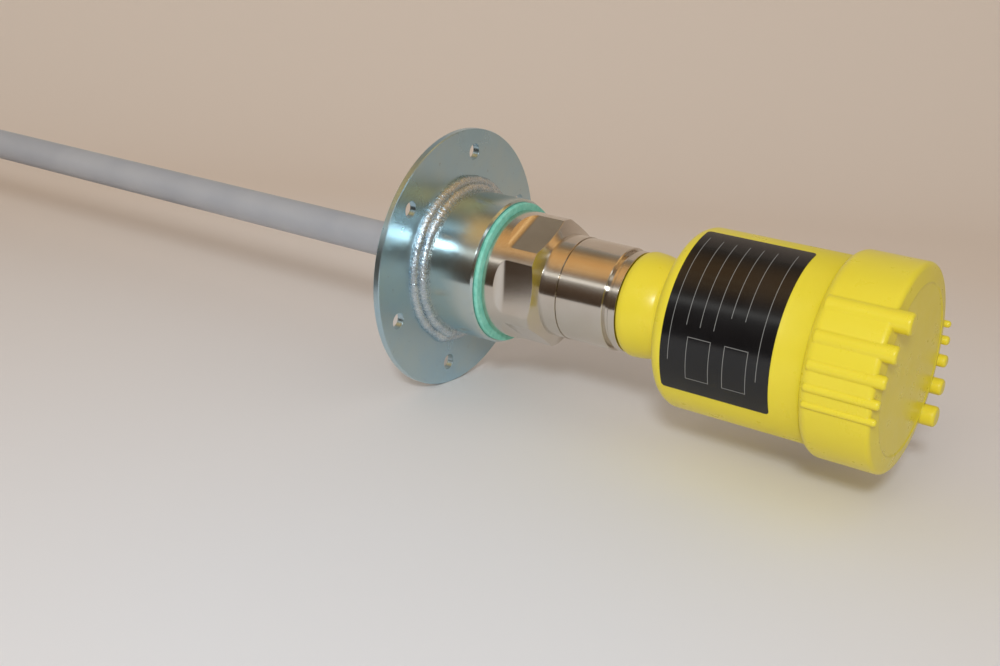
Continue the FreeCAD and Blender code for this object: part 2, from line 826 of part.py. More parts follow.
def housing_outside():
    bulge_top = "Levels.housing_low + Sizes.waist_height"
    shoulder_low = f"{bulge_top} + Sizes.shoulder_rise"
    outer = "Levels.housing_radius"
    mouth = "Levels.mouth_radius"
    bevel = "Sizes.mouth_chamfer"
    return turned("housing_outside", [
        ("0", "Levels.housing_low"),
        (half("housing_foot_diameter"), "Levels.housing_low"),
        (half("bulge_diameter"), "Levels.housing_low + Sizes.bulge_height", "Sizes.bulge_lower_radius", 1),
        (half("waist_diameter"), bulge_top, "Sizes.bulge_upper_radius", 1),
        ("Levels.shoulder_low_radius", shoulder_low),
        (outer, f"{shoulder_low} + Sizes.shoulder_round", "Levels.shoulder_radius", 1),
        (outer, "Levels.seam"),
        (mouth, "Levels.seam + Sizes.mouth_step"),
        (mouth, f"Levels.mouth_top - {bevel}"),
        (f"{mouth} - {bevel}", "Levels.mouth_top"),
        ("0", "Levels.mouth_top"),
    ])


def housing_inside():
    bore = f"{half('journal_diameter')} + Sizes.free_gap"
    chamber = "Levels.chamber_radius"
    above = "Levels.mouth_top + Sizes.mouth_height"
    corner = "Sizes.floor_corner"
    return turned("housing_inside", [
        ("0", "Levels.housing_low - Sizes.bulge_height"),
        (bore, "Levels.housing_low - Sizes.bulge_height"),
        (bore, "Levels.counterbore_low"),
        (half("counterbore_diameter"), "Levels.counterbore_low"),
        (half("counterbore_diameter"), "Levels.floor"),
        (f"{chamber} - {corner}", "Levels.floor"),
        (chamber, f"Levels.floor + {corner}", corner, 1),
        (chamber, above),
        ("0", above),
    ])


def stop_lug():
    """Block in the counterbore that meets the stop pin at each end of the turn."""
    outer = half("counterbore_diameter")
    reach = f"{half('journal_diameter')} + Sizes.free_gap"
    return box(
        "stop_lug",
        ("Sizes.stop_lug_width", f"{outer} - ({reach})", "Sizes.counterbore_depth - Sizes.seat_gap"),
        (f"-{half('stop_lug_width')}", f"-({outer} + Sizes.seat_gap)", "Levels.counterbore_low"))


GLAND_ANGLE = "Sizes.stop_angle + Sizes.entry_spread"
PLUG_ANGLE = "Sizes.stop_angle - Sizes.entry_spread"


def post_place(side):
    return (f"{side} * Levels.post_radius", "0")


def housing_body():
    chamber = "Levels.chamber_radius"
    bosses = []
    holes = []
    for name, angle in (("gland", GLAND_ANGLE), ("plug", PLUG_ANGLE)):
        boss = rod(f"{name}_boss", half("entry_boss_diameter"), chamber, "Levels.entry_face")
        bosses.append(radial(boss, angle, "Levels.entry_height"))
        hole = rod(f"{name}_hole", half("entry_bore"), "Levels.insert_radius",
                   "Levels.entry_face + Sizes.cutter_overrun")
        holes.append(radial(hole, angle, "Levels.entry_height"))
    boss = rod("earth_boss", half("earth_boss_diameter"), chamber, "Levels.earth_face")
    bosses.append(radial(boss, "Sizes.stop_angle", "Levels.earth_height"))
    tap = f"{half('earth_thread')} + Sizes.seat_gap"
    hole_low = "Levels.earth_face - Sizes.earth_screw_length - Sizes.seat_gap"
    hole = rod("earth_hole", tap, hole_low, "Levels.earth_face + Sizes.cutter_overrun")
    holes.append(radial(hole, "Sizes.stop_angle", "Levels.earth_height"))
    posts = []
    for side in (-1, 1):
        x_text, y_text = post_place(side)
        word = "left" if side < 0 else "right"
        posts.append(cylinder(f"post_{word}", half("post_diameter"), "Levels.plate_low - Levels.journal_top",
                              (x_text, y_text, "Levels.journal_top")))
        depth = "(Sizes.insert_screw_grip + Sizes.seat_gap)"
        holes.append(cylinder(f"post_{word}_hole", f"{half('insert_screw')} + Sizes.seat_gap", f"2 * {depth}",
                              (x_text, y_text, f"Levels.plate_low - {depth}")))
    solid = fused("housing_solid", [housing_outside()] + bosses)
    shell = cut("housing_shell", solid, housing_inside())
    filled = fused("housing_filled", [shell, stop_lug()] + posts)
    node(cut("housing_body", filled, fused("housing_holes", holes)))


def nameplate():
    inner = "Levels.housing_radius + Sizes.seat_gap"
    outer = f"{inner} + Sizes.nameplate_thickness"
    low = "Levels.housing_low + Sizes.nameplate_low"
    high = f"{low} + Sizes.nameplate_height"
    body = turned("nameplate", [(inner, low), (outer, low), (outer, high), (inner, high)],
                  "Sizes.nameplate_angle")
    doc.recompute()
    thickness = number("Sizes.nameplate_thickness")
    corners = []
    for place, edge in enumerate(body.Shape.Edges, start=1):
        if abs(edge.Length - thickness) < thickness / 10:
            corners.append(f"Edge{place}")
    blank = body.Tip
    fillet = body.newObject("PartDesign::Fillet", "nameplate_corners")
    fillet.Base = (blank, corners)
    fillet.setExpression("Radius", "Sizes.nameplate_corner")
    body.Tip = fillet
    start = number("-90 - Sizes.nameplate_angle / 2")
    body.Placement = FreeCAD.Placement(
        FreeCAD.Vector(), FreeCAD.Rotation(FreeCAD.Vector(0, 0, 1), start))
    node(body)


# Electronics insert

def electronics_cup():
    outer = "Levels.insert_radius"
    bore = "Levels.insert_bore"
    ledge = f"{bore} - Sizes.insert_ledge"
    hole = f"{half('socket_diameter')} + Sizes.seat_gap"
    floor = "Levels.insert_low + Sizes.insert_wall"
    board = "Levels.insert_low + Sizes.board_up"
    node(turned("electronics_cup", [
        (hole, "Levels.insert_low"),
        (outer, "Levels.insert_low"),
        (outer, "Levels.plate_low"),
        (bore, "Levels.plate_low"),
        (bore, board),
        (ledge, board),
        (ledge, floor),
        (hole, floor),
    ]))


def circuit_board():
    low = "Levels.insert_low + Sizes.board_up"
    node(rod("circuit_board", "Levels.insert_bore - Sizes.seat_gap", low, f"{low} + Sizes.board_thickness"))


def contact_socket():
    outer = half("socket_diameter")
    bore = f"{half('pin_diameter')} + Sizes.running_gap"
    floor = "Levels.insert_low + Sizes.insert_wall"
    board = "Levels.insert_low + Sizes.board_up"
    node(turned("contact_socket", [
        (bore, "Levels.insert_low - Sizes.socket_drop"),
        (outer, "Levels.insert_low - Sizes.socket_drop"),
        (outer, floor),
        (half("socket_flange"), floor),
        (half("socket_flange"), f"{floor} + Sizes.socket_flange_thickness"),
        (outer, f"{floor} + Sizes.socket_flange_thickness"),
        (outer, board),
        (bore, board),
    ]))


def terminal_plate():
    edge = "Levels.chamber_radius - Sizes.terminal_plate_gap"
    disc = rod("terminal_disc", edge, "Levels.plate_low", "Levels.plate_high")
    holes = []
    for side in (-1, 1):
        x_text, y_text = post_place(side)
        word = "left" if side < 0 else "right"
        holes.append(cylinder(f"terminal_disc_hole_{word}", f"{half('insert_screw')} + Sizes.free_gap",
                              "3 * Sizes.terminal_plate_thickness",
                              (x_text, y_text, "Levels.plate_low - Sizes.terminal_plate_thickness")))
    node(cut("terminal_plate", disc, fused("terminal_disc_holes", holes)))


def terminal_place(place):
    """Distance of one terminal from the middle of the block, along X."""
    return f"({place} - (Sizes.terminal_count - 1) / 2) * Sizes.terminal_pitch"


def terminal_block():
    width = "Sizes.terminal_count * Sizes.terminal_pitch"
    front = f"Sizes.terminal_offset - {half('terminal_depth')}"
    top = "Levels.plate_high + Sizes.terminal_height"
    blank = box("terminal_blank", (width, "Sizes.terminal_depth", "Sizes.terminal_height"),
                (f"-{width} / 2", front, "Levels.plate_high"))
    openings = []
    for place in range(int(number("Sizes.terminal_count"))):
        x_text = terminal_place(place)
        well = f"{half('terminal_screw')} + Sizes.seat_gap"
        openings.append(cylinder(f"terminal_well_{place}", well, "2 * Sizes.terminal_well_depth",
                                 (x_text, "Sizes.terminal_offset", f"{top} - Sizes.terminal_well_depth")))
        openings.append(box(f"terminal_mouth_{place}",
                            ("Sizes.terminal_mouth", "2 * Sizes.terminal_mouth_depth", "Sizes.terminal_mouth"),
                            (f"{x_text} - {half('terminal_mouth')}", f"{front} - Sizes.terminal_mouth_depth",
                             "Levels.plate_high + Sizes.terminal_plate_thickness")))
    node(cut("terminal_block", blank, fused("terminal_openings", openings)))


def terminal_screws():
    top = "Levels.plate_high + Sizes.terminal_height"
    screws = []
    for place in range(int(number("Sizes.terminal_count"))):
        screws.append(cylinder(f"terminal_screw_{place}", half("terminal_screw"), "Sizes.terminal_screw_height",
                               (terminal_place(place), "Sizes.terminal_offset",
                                f"{top} - Sizes.terminal_well_depth")))
    group = doc.addObject("Part::Compound", "terminal_screws")
    group.Links = screws
    node(group)


def electronics_screws():
    screws = []
    for side in (-1, 1):
        x_text, y_text = post_place(side)
        word = "left" if side < 0 else "right"
        shank = cylinder(f"insert_shank_{word}", half("insert_screw"),
                         "Sizes.insert_screw_grip + Sizes.terminal_plate_thickness",
                         (x_text, y_text, "Levels.plate_low - Sizes.insert_screw_grip"))
        head = cylinder(f"insert_head_{word}", half("insert_screw_head"), "Sizes.insert_screw_head_height",
                        (x_text, y_text, "Levels.plate_high"))
        screws.append(fused(f"insert_screw_{word}", [shank, head]))
    group = doc.addObject("Part::Compound", "electronics_screws")
    group.Links = screws
    node(group)


def inner_ground_terminal():
    side = "Sizes.inner_earth_width"
    block = box("inner_earth_block", (side, side, "Sizes.inner_earth_height"),
                (f"-{side} / 2", f"-Sizes.inner_earth_offset - {side} / 2", "Levels.plate_high"))
    head = cylinder("inner_earth_head", half("inner_earth_screw"), "Sizes.inner_earth_screw_height",
                    ("0", "-Sizes.inner_earth_offset", "Levels.plate_high + Sizes.inner_earth_height"))
    node(fused("inner_ground_terminal", [block, head]))


# Cable gland and blind plug; their own Z is the distance from the housing's axis

ENTRY_SEAT = "Levels.entry_face + Sizes.entry_gasket_thickness"
GLAND_SHOULDER = f"{ENTRY_SEAT} + Sizes.gland_hex_height"
GLAND_END = f"{GLAND_SHOULDER} + Sizes.gland_thread_length"


def entry_gaskets():
    inner = f"{half('entry_bore')} + Sizes.seat_gap"
    for name, angle in (("gland_gasket", GLAND_ANGLE), ("plug_gasket", PLUG_ANGLE)):
        gasket = ring(name, inner, half("entry_gasket_outer"), "Levels.entry_face", ENTRY_SEAT)
        node(radial(gasket, angle, "Levels.entry_height"))


def hexagon(name, width, low, height):
    """Six-sided bar along its own Z."""
    bar = doc.addObject("Part::Prism", name)
    bar.Polygon = 6
    bar.setExpression("Circumradius", f"{width} / sqrt(3)")
    bar.setExpression("Height", height)
    bar.setExpression("Placement.Base.z", low)
    return bar


def gland_body():
    stub = f"{half('entry_bore')} - Sizes.seat_gap"
    stub_low = "Levels.chamber_radius + Sizes.entry_stub_inset"
    bore = half("gland_bore")
    thread = half("gland_thread")
    chamber = half("gland_chamber")
    turned_part = turned("gland_turned", [
        (bore, stub_low),
        (stub, stub_low),
        (stub, ENTRY_SEAT),
        (half("gland_hex_width"), ENTRY_SEAT),
        (half("gland_hex_width"), GLAND_SHOULDER),
        (thread, GLAND_SHOULDER),
        (thread, GLAND_END),
        (chamber, GLAND_END),
        (chamber, f"{GLAND_END} - Sizes.gland_chamber_depth"),
        (bore, f"{GLAND_END} - Sizes.gland_chamber_depth"),
    ])
    bar = hexagon("gland_hex_bar", "Sizes.gland_hex_width", ENTRY_SEAT, "Sizes.gland_hex_height")
    core = rod("gland_hex_core", "(Sizes.gland_bore + Sizes.gland_thread) / 4",
               f"{ENTRY_SEAT} - Sizes.cutter_overrun", f"{GLAND_SHOULDER} + Sizes.cutter_overrun")
    body = fused("gland_body", [turned_part, cut("gland_hex", bar, core)])
    node(radial(body, GLAND_ANGLE, "Levels.entry_height"))


def gland_seal():
    outer = f"{half('gland_chamber')} - Sizes.free_gap"
    low = f"{GLAND_END} - Sizes.gland_chamber_depth + Sizes.seat_gap"
    high = f"{low} + Sizes.gland_seal_length"
    seal = ring("gland_seal", half("cable_bore"), outer, low, high)
    node(radial(seal, GLAND_ANGLE, "Levels.entry_height"))


def gland_cap():
    outer = half("gland_cap_diameter")
    thread = f"{half('gland_thread')} + Sizes.free_gap"
    low = f"{GLAND_SHOULDER} + Sizes.free_gap"
    skirt_top = f"{low} + Sizes.gland_cap_skirt"
    face = f"{skirt_top} + Sizes.gland_cap_dome"
    seal_top = f"{GLAND_END} - Sizes.gland_chamber_depth + Sizes.seat_gap + Sizes.gland_seal_length"
    turned_part = turned("gland_cap_turned", [
        (thread, low),
        (outer, low),
        (outer, skirt_top),
        (half("gland_cap_face"), face, "Sizes.gland_cap_round", 1),
        (half("gland_cap_mouth"), face),
        (half("gland_cap_mouth"), f"{seal_top} + Sizes.seat_gap"),
        (half("gland_chamber"), f"{seal_top} + Sizes.seat_gap"),
        (half("gland_chamber"), f"{GLAND_END} + Sizes.free_gap"),
        (thread, f"{GLAND_END} + Sizes.free_gap"),
    ])
    envelope = hexagon("gland_cap_hex", "Sizes.gland_cap_flats", low,
                       "Sizes.gland_cap_skirt + Sizes.gland_cap_dome")
    cap = doc.addObject("Part::MultiCommon", "gland_cap")
    cap.Shapes = [turned_part, envelope]
    node(radial(cap, GLAND_ANGLE, "Levels.entry_height"))


def blind_plug():
    stub = f"{half('entry_bore')} - Sizes.seat_gap"
    head = half("plug_head_diameter")
    low = "Levels.chamber_radius + Sizes.entry_stub_inset"
    high = f"{ENTRY_SEAT} + Sizes.plug_head_height"
    hollow = f"{stub} - Sizes.plug_wall"
    blank = turned("plug_blank", [
        (hollow, low),
        (stub, low),
        (stub, ENTRY_SEAT),
        (head, ENTRY_SEAT),
        (head, f"{high} - Sizes.collar_chamfer"),
        (f"{head} - Sizes.collar_chamfer", high),
        ("0", high),
        ("0", ENTRY_SEAT),
        (hollow, ENTRY_SEAT),
    ])
    slot = box("plug_slot", ("Sizes.plug_slot_width", "2 * Sizes.plug_head_diameter", "2 * Sizes.plug_slot_depth"),
               (f"-{half('plug_slot_width')}", "-Sizes.plug_head_diameter", f"{high} - Sizes.plug_slot_depth"))
    node(radial(cut("blind_plug", blank, slot), PLUG_ANGLE, "Levels.entry_height"))


# Outer earth terminal

def earth_terminal():
    face = "Levels.earth_face"
    clamp_top = f"{face} + Sizes.earth_clamp_thickness"
    side = "Sizes.earth_clamp_width"
    bore = f"{half('earth_thread')} + Sizes.seat_gap"
    slab = box("earth_slab", (side, side, "Sizes.earth_clamp_thickness"),
               (f"-{side} / 2", f"-{side} / 2", face))
    opening = rod("earth_slab_hole", bore, f"{face} - Sizes.cutter_overrun",
                  f"{clamp_top} + Sizes.cutter_overrun")
    node(radial(cut("ground_clamp", slab, opening), "Sizes.stop_angle", "Levels.earth_height"))
    screw = turned("ground_screw", [
        ("0", f"{face} - Sizes.earth_screw_length"),
        (half("earth_thread"), f"{face} - Sizes.earth_screw_length"),
        (half("earth_thread"), clamp_top),
        (half("earth_head_diameter"), clamp_top),
        (half("earth_head_diameter"), f"{clamp_top} + Sizes.earth_head_height"),
        ("0", f"{clamp_top} + Sizes.earth_head_height"),
    ])
    node(radial(screw, "Sizes.stop_angle", "Levels.earth_height"))


# Lid with its graded grip ribs

def lid_outside():
    outer = "Levels.lid_radius"
    foot = "Levels.housing_radius + Sizes.free_gap"
    ridge = "Levels.lid_ridge_radius"
    wall_top = "Levels.lid_face - Sizes.lid_band_start + Sizes.lid_band_rise"
    band = f"{outer} - Sizes.lid_upper_round"
    return turned("lid_outside", [
        ("0", "Levels.lid_low"),
        (f"{foot} + Sizes.lid_lower_edge", "Levels.lid_low"),
        (outer, "Levels.lid_low + Sizes.lid_lower_round", "Sizes.lid_lower_radius", 1),
        (outer, wall_top),
        (band, f"{wall_top} + Sizes.lid_upper_round", "Sizes.lid_upper_round", 1),
        (ridge, "Levels.lid_face + Sizes.lid_ridge_step"),
        (f"{ridge} - Sizes.lid_ridge_step", "Levels.lid_face"),
        ("0", "Levels.lid_face"),
    ])


def lid_inside():
    skirt = "Levels.housing_radius + Sizes.free_gap"
    thread = "Levels.lid_thread_radius"
    seal = "Levels.mouth_radius + Sizes.free_gap"
    below = "Levels.lid_low - Sizes.lid_lower_round"
    step = "Levels.seam + Sizes.mouth_step"
    return turned("lid_inside", [
        ("0", below),
        (skirt, below),
        (skirt, step),
        (thread, step),
        (thread, "Levels.mouth_top - Sizes.mouth_chamfer"),
        (seal, "Levels.mouth_top"),
        (seal, "Levels.lid_inside"),
        ("0", "Levels.lid_inside"),
    ])


def grip_rib(word, side):
    """Upright bar with rounded ends, set into the lid's wall; side 1 is its copy half a turn on."""
    radius = half(f"rib_{word}_diameter")
    centre = f"(Levels.rib_reach - {radius})"
    angle = f"(Sizes.rib_{word}_angle + {180 * side})"
    low = "Levels.lid_low + Sizes.rib_start"
    bar = cylinder(f"rib_{word}_{side}_bar", radius, f"Levels.lid_face + Sizes.rib_{word}_stand - ({low})",
                   (f"{centre} * cos({angle})", f"{centre} * sin({angle})", low))
    doc.recompute()
    rounding = min(number("Sizes.rib_rounding"), number(f"Sizes.rib_rounding_share * {radius}"))
    rims = [place for place, edge in enumerate(bar.Shape.Edges, start=1) if edge.isClosed()]
    rounded = doc.addObject("Part::Fillet", f"rib_{word}_{side}")
    rounded.Base = bar
    rounded.Edges = [(rim, rounding, rounding) for rim in rims]
    return rounded


def housing_lid():
    ribs = []
    for word in ("one", "two", "three", "four", "five"):
        for side in (0, 1):
            ribs.append(grip_rib(word, side))
    solid = fused("lid_solid", [lid_outside()] + ribs)
    node(cut("housing_lid", solid, lid_inside()))


def lid_seal():
    section = half("lid_seal_section")
    centre = f"Levels.mouth_radius - {section}"
    height = f"Levels.mouth_top + Sizes.seat_gap + {section}"
    node(torus("lid_seal", centre, height, section))


# Checks and files

def check_model():
    for thing in doc.Objects:
        if "Invalid" in thing.State or "Error" in thing.State:
            raise RuntimeError(f"{thing.Name} failed: {thing.State}")
    for solid in nodes:
        if solid.Shape.isNull() or not solid.Shape.isValid():
            raise RuntimeError(f"{solid.Label} has no valid shape")


def write_parts():
    os.makedirs("parts", exist_ok=True)
    for solid in nodes:
        solid.Shape.exportStep(f"parts/{solid.Label}.step")
        limits = solid.Shape.BoundBox
        print(f"{solid.Label}: {len(solid.Shape.Solids)} solid, {solid.Shape.Volume:.0f} mm3,"
              f" z {limits.ZMin:.1f} to {limits.ZMax:.1f}")


fill_sheet()
fill_levels()
flange_plate()
threaded_collar()
weld_bead()
seal_ring()
process_fitting()
rod_insulation()
rod_core()
sealing_cone()
thrust_washer()
disc_springs()
packing_nut()
contact_pin()
neck_sleeve()
feedthrough_bush()
neck_o_ring()
stop_pin()
swivel_washer()
retaining_ring()
housing_body()
nameplate()
electronics_cup()
circuit_board()
contact_socket()
terminal_plate()
terminal_block()
terminal_screws()
electronics_screws()
inner_ground_terminal()
entry_gaskets()
gland_body()
gland_seal()
gland_cap()
blind_plug()
earth_terminal()
housing_lid()
lid_seal()
doc.recompute()
check_model()
write_parts()
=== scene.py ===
# %% [markdown]
# # A capacitive level probe
# The real object measures how full a tank is. A rod covered in white PTFE hangs in the
# tank, a stainless fitting screws it into a welded flange, and a yellow plastic housing
# on top holds the electronics. The CAD model already has every part in its place, so
# this lesson only dresses it: finer meshes where a solid is too plain, and a finish
# for every surface. The first step loads that model and lists what came with it.

# %% Load the frame
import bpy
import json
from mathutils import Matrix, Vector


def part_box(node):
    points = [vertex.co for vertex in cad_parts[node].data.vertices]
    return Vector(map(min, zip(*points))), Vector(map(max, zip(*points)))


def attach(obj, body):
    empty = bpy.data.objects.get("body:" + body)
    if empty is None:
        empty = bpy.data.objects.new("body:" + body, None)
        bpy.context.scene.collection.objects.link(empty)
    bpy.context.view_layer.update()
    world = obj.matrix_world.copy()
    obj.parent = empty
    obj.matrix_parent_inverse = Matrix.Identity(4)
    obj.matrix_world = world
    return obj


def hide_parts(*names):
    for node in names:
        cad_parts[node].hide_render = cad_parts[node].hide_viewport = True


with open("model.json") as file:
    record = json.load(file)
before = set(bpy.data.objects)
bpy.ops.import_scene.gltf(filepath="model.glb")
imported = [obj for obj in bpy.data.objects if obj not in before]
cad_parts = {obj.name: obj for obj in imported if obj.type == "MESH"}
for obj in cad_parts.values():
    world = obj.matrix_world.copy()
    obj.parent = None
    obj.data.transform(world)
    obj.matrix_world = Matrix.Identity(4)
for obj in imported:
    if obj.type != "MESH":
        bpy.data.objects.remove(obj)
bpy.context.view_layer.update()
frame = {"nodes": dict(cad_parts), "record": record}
print("nodes:", len(frame["nodes"]))

# %% [markdown]
# ## Tools and one measure
# Meshes are made with bmesh and NumPy, and every length below is in metres, so one
# millimetre gets a name.

# %% Imports and one measure
import bpy
import bmesh
import json
import math
import numpy as np
from mathutils import Matrix, Vector

MM = 0.001


def corners(node):
    low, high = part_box(node)
    return np.array(low), np.array(high)


def object_of(name, data):
    """A new object in the scene, at the origin, with the given mesh, lamp or camera."""
    made = bpy.data.objects.new(name, data)
    bpy.context.scene.collection.objects.link(made)
    return made


def mesh_of(build, name):
    """A smooth mesh from a bmesh, which is freed."""
    mesh = bpy.data.meshes.new(name)
    build.to_mesh(mesh)
    build.free()
    mesh.shade_smooth()
    return mesh


plate_low, plate_high = corners("flange_plate")
plate_radius = plate_high[0]
plate_top = plate_high[2]
print("flange radius and top, mm:", round(plate_radius / MM, 2), round(plate_top / MM, 2))

# %% [markdown]
# ## The camera
# The photograph was taken from close by, so the perspective is strong and the camera
# cannot simply stand far off. Its place and lens were worked out from the circles of
# the flange, the collar and the lid, whose sizes are known. The three directions are
# the camera's own right, up and back, and together they are its rotation.

# %% Place the camera
CAMERA_AT = Vector((0.05915, -0.48026, 0.32457))
CAMERA_RIGHT = Vector((-0.301792, 0.479030, 0.824289))
CAMERA_UP = Vector((-0.951684, -0.202813, -0.230571))
CAMERA_BACK = Vector((0.056726, -0.854047, 0.517093))
LENS = 47.12
SENSOR = 36

camera_data = bpy.data.cameras.new("camera")
camera_data.lens = LENS
camera_data.sensor_width = SENSOR
camera_data.clip_start = 10 * MM
camera = object_of("camera", camera_data)
turn = Matrix((CAMERA_RIGHT, CAMERA_UP, CAMERA_BACK)).transposed()
camera.matrix_world = Matrix.Translation(CAMERA_AT) @ turn.to_4x4()
bpy.context.scene.camera = camera
bpy.context.scene.view_settings.view_transform = "Standard"
print("camera at", [round(v, 3) for v in CAMERA_AT])

# %% [markdown]
# ## Sums written as sums
# Materials and Geometry Nodes are both made of nodes and wires. Placing them by hand in
# code is long and hard to read, so one small class stands for a wire. Adding or
# multiplying two wires adds the Math node for it, and every other kind of node comes
# from the one method `node`, which takes its settings first and then its sockets.

# %% The wire
class Wire:
    """A value on its way through a node tree."""

    def __init__(self, tree, socket=None):
        self.tree = tree
        self.socket = socket

    def node(self, kind, settings=None, sockets=None, out=0):
        made = self.tree.nodes.new(kind)
        for name, value in (settings or {}).items():
            if name == "stops":
                first, last = value[0], value[-1]
                ramp = made.color_ramp.elements
                ramp[0].position, ramp[0].color = first
                ramp[1].position, ramp[1].color = last
                for place, colour in value[1:-1]:
                    ramp.new(place).color = colour
            else:
                setattr(made, name, value)
        for name, value in (sockets or {}).items():
            if isinstance(value, Wire):
                self.tree.links.new(value.socket, made.inputs[name])
            else:
                made.inputs[name].default_value = value
        return Wire(self.tree, made.outputs[out] if len(made.outputs) else None)

    def maths(self, operation, *values):
        return self.node("ShaderNodeMath", {"operation": operation}, dict(enumerate(values)))

    def __add__(self, other):
        return self.maths("ADD", self, other)

    def __radd__(self, other):
        return self.maths("ADD", other, self)

    def __sub__(self, other):
        return self.maths("SUBTRACT", self, other)

    def __rsub__(self, other):
        return self.maths("SUBTRACT", other, self)

    def __mul__(self, other):
        return self.maths("MULTIPLY", self, other)

    def __rmul__(self, other):
        return self.maths("MULTIPLY", other, self)

    def __truediv__(self, other):
        return self.maths("DIVIDE", self, other)

    def __pow__(self, other):
        return self.maths("POWER", self, other)


# %% [markdown]
# ## Words for finishes
# A finish is mostly the same few ideas: where a point is on the object, a noise of some
# scale, a change of range, and a blend of two colours. Each gets a short function, so
# that a material later reads like a description of the surface. Colours are written as
# a picture shows them, from 0 to 255, and turned into the linear light that the
# renderer works with.

# %% Helpers for materials
def linear(red, green, blue):
    """An 8-bit picture colour as linear light with full alpha."""
    values = []
    for part in (red, green, blue):
        share = part / 255
        values.append(share / 12.92 if share <= 0.04045 else ((share + 0.055) / 1.055) ** 2.4)
    return (*values, 1.0)


def new_finish(name):
    material = bpy.data.materials.new(name)
    material.use_nodes = True
    material.node_tree.nodes.clear()
    return material, Wire(material.node_tree)


def place_on_object(wire):
    return wire.node("ShaderNodeTexCoord", out="Object")


def split(point):
    made = point.node("ShaderNodeSeparateXYZ", None, {0: point}).socket.node
    return [Wire(point.tree, made.outputs[axis]) for axis in range(3)]


def joined(x, y, z):
    wire = next(part for part in (x, y, z) if isinstance(part, Wire))
    return wire.node("ShaderNodeCombineXYZ", None, {0: x, 1: y, 2: z})


def noise(point, scale, detail=3.0, roughness=0.55, out="Fac"):
    return point.node("ShaderNodeTexNoise", None, {
        "Vector": point, "Scale": scale, "Detail": detail, "Roughness": roughness}, out)


def remap(value, low, high, new_low=0.0, new_high=1.0):
    return value.node("ShaderNodeMapRange", {"clamp": True}, {
        "Value": value, "From Min": low, "From Max": high, "To Min": new_low, "To Max": new_high})


def size_of(value):
    """The value without its sign."""
    return value.maths("ABSOLUTE", value)


def blend(mask, first, second):
    """A colour that is first where the mask is 0 and second where it is 1."""
    return mask.node("ShaderNodeMix", {"data_type": "RGBA"}, {0: mask, 6: first, 7: second}, 2)


def bump(height, strength, distance, under=None):
    sockets = {"Height": height, "Strength": strength, "Distance": distance}
    if under is not None:
        sockets["Normal"] = under
    return height.node("ShaderNodeBump", None, sockets)


def soft_edges(wire, radius):
    """The surface's direction, rounded over at the edges of the mesh."""
    return wire.node("ShaderNodeBevel", {"samples": 4}, {"Radius": radius})


def finished(wire, material, sockets):
    shader = wire.node("ShaderNodeBsdfPrincipled", None, sockets)
    wire.node("ShaderNodeOutputMaterial", None, {"Surface": shader})
    return material


FINISHES = {}

# %% [markdown]
# ## Yellow housing plastic
# The housing is injection moulded in a bright, slightly greenish yellow. The surface has
# a very fine spark-eroded grain, so highlights are soft, and light enters the plastic a
# little, which keeps its shaded side warm. A plain colour would look like paint: the
# grain goes into the bump, and slow noise changes the colour and the gloss by a little.

# %% Yellow plastic
def yellow_plastic(name, edge):
    """The plastic, with the moulded edges rounded over by `edge`."""
    material, wire = new_finish(name)
    point = place_on_object(wire)
    slow = noise(point, 45, 2)
    grain = noise(point, 1100, 1, 0.5)
    handled = noise(point, 130, 4, 0.6)
    colour = blend(slow, linear(228, 209, 50), linear(233, 215, 63))
    shine = remap(handled, 0.3, 0.7, 0.26, 0.34)
    normal = bump(grain, strength=0.012, distance=0.1 * MM, under=soft_edges(wire, edge))
    return finished(wire, material, {
        "Base Color": colour, "Roughness": shine, "Normal": normal, "IOR": 1.46,
        "Subsurface Weight": 0.12, "Subsurface Radius": (0.004, 0.003, 0.0008),
        "Subsurface Scale": 0.5})


FINISHES["yellow_plastic"] = yellow_plastic("yellow_plastic", 0.4 * MM)
FINISHES["lid_plastic"] = yellow_plastic("lid_plastic", 0.9 * MM)
print("finishes:", "yellow_plastic lid_plastic")

# %% [markdown]
# ## Zinc plating
# Flange plate and collar are mild steel with a thin bright zinc layer, passivated to a
# cold bluish silver that shifts to straw yellow in places. Under the zinc they differ.
# The plate is rolled sheet, cleaned with an abrasive disc: faint streaks lie across it,
# and near the rim the disc left a fine slanting hatch. The collar is turned, so it is
# smoother and mirrors what is round it in streaks along its axis. Both share the same colour
# and the same slow wipe marks, so one function makes both and adds the marks of each.

# %% Zinc-plated steel
def zinc_plating(name, cold, straw, shine_low, shine_high, marks, relief, stretch):
    """Zinc over steel. `marks` makes a height from the place on the object."""
    material, wire = new_finish(name)
    point = place_on_object(wire)
    wipes = noise(point, 26, 4, 0.6)
    spots = noise(point, 420, 3, 0.6)
    tint = blend(remap(wipes, 0.35, 0.68), linear(*cold), linear(*straw))
    colour = blend(remap(spots, 0.66, 0.82), tint, linear(160, 180, 190))
    shine = remap(wipes, 0.3, 0.7, shine_low, shine_high)
    edges = soft_edges(wire, 0.3 * MM)
    normal = bump(marks(point), strength=relief, distance=0.2 * MM, under=edges)
    return finished(wire, material, {
        "Base Color": colour, "Metallic": 1.0, "Roughness": shine, "Normal": normal,
        "Anisotropic": stretch, "Anisotropic Rotation": 0.25})


def disc_marks(point):
    x, y, z = split(point)
    radius = (x * x + y * y) ** 0.5
    angle = x.maths("ARCTAN2", y, x)
    streaks = noise(joined(x * 90, y * 1100, z * 90), 1, 3, 0.6)
    hatch = noise(joined(angle * 95 + radius * 900, radius * 140, 0.0), 1, 2, 0.5)
    near_rim = remap(radius, 0.044, 0.054) * remap(noise(point, 22, 2), 0.42, 0.58)
    return streaks * 0.35 + hatch * near_rim * 1.6


def turning_marks(point):
    x, y, z = split(point)
    return noise(joined(x * 10, y * 10, z * 5200), 1, 2, 0.5) * 0.6


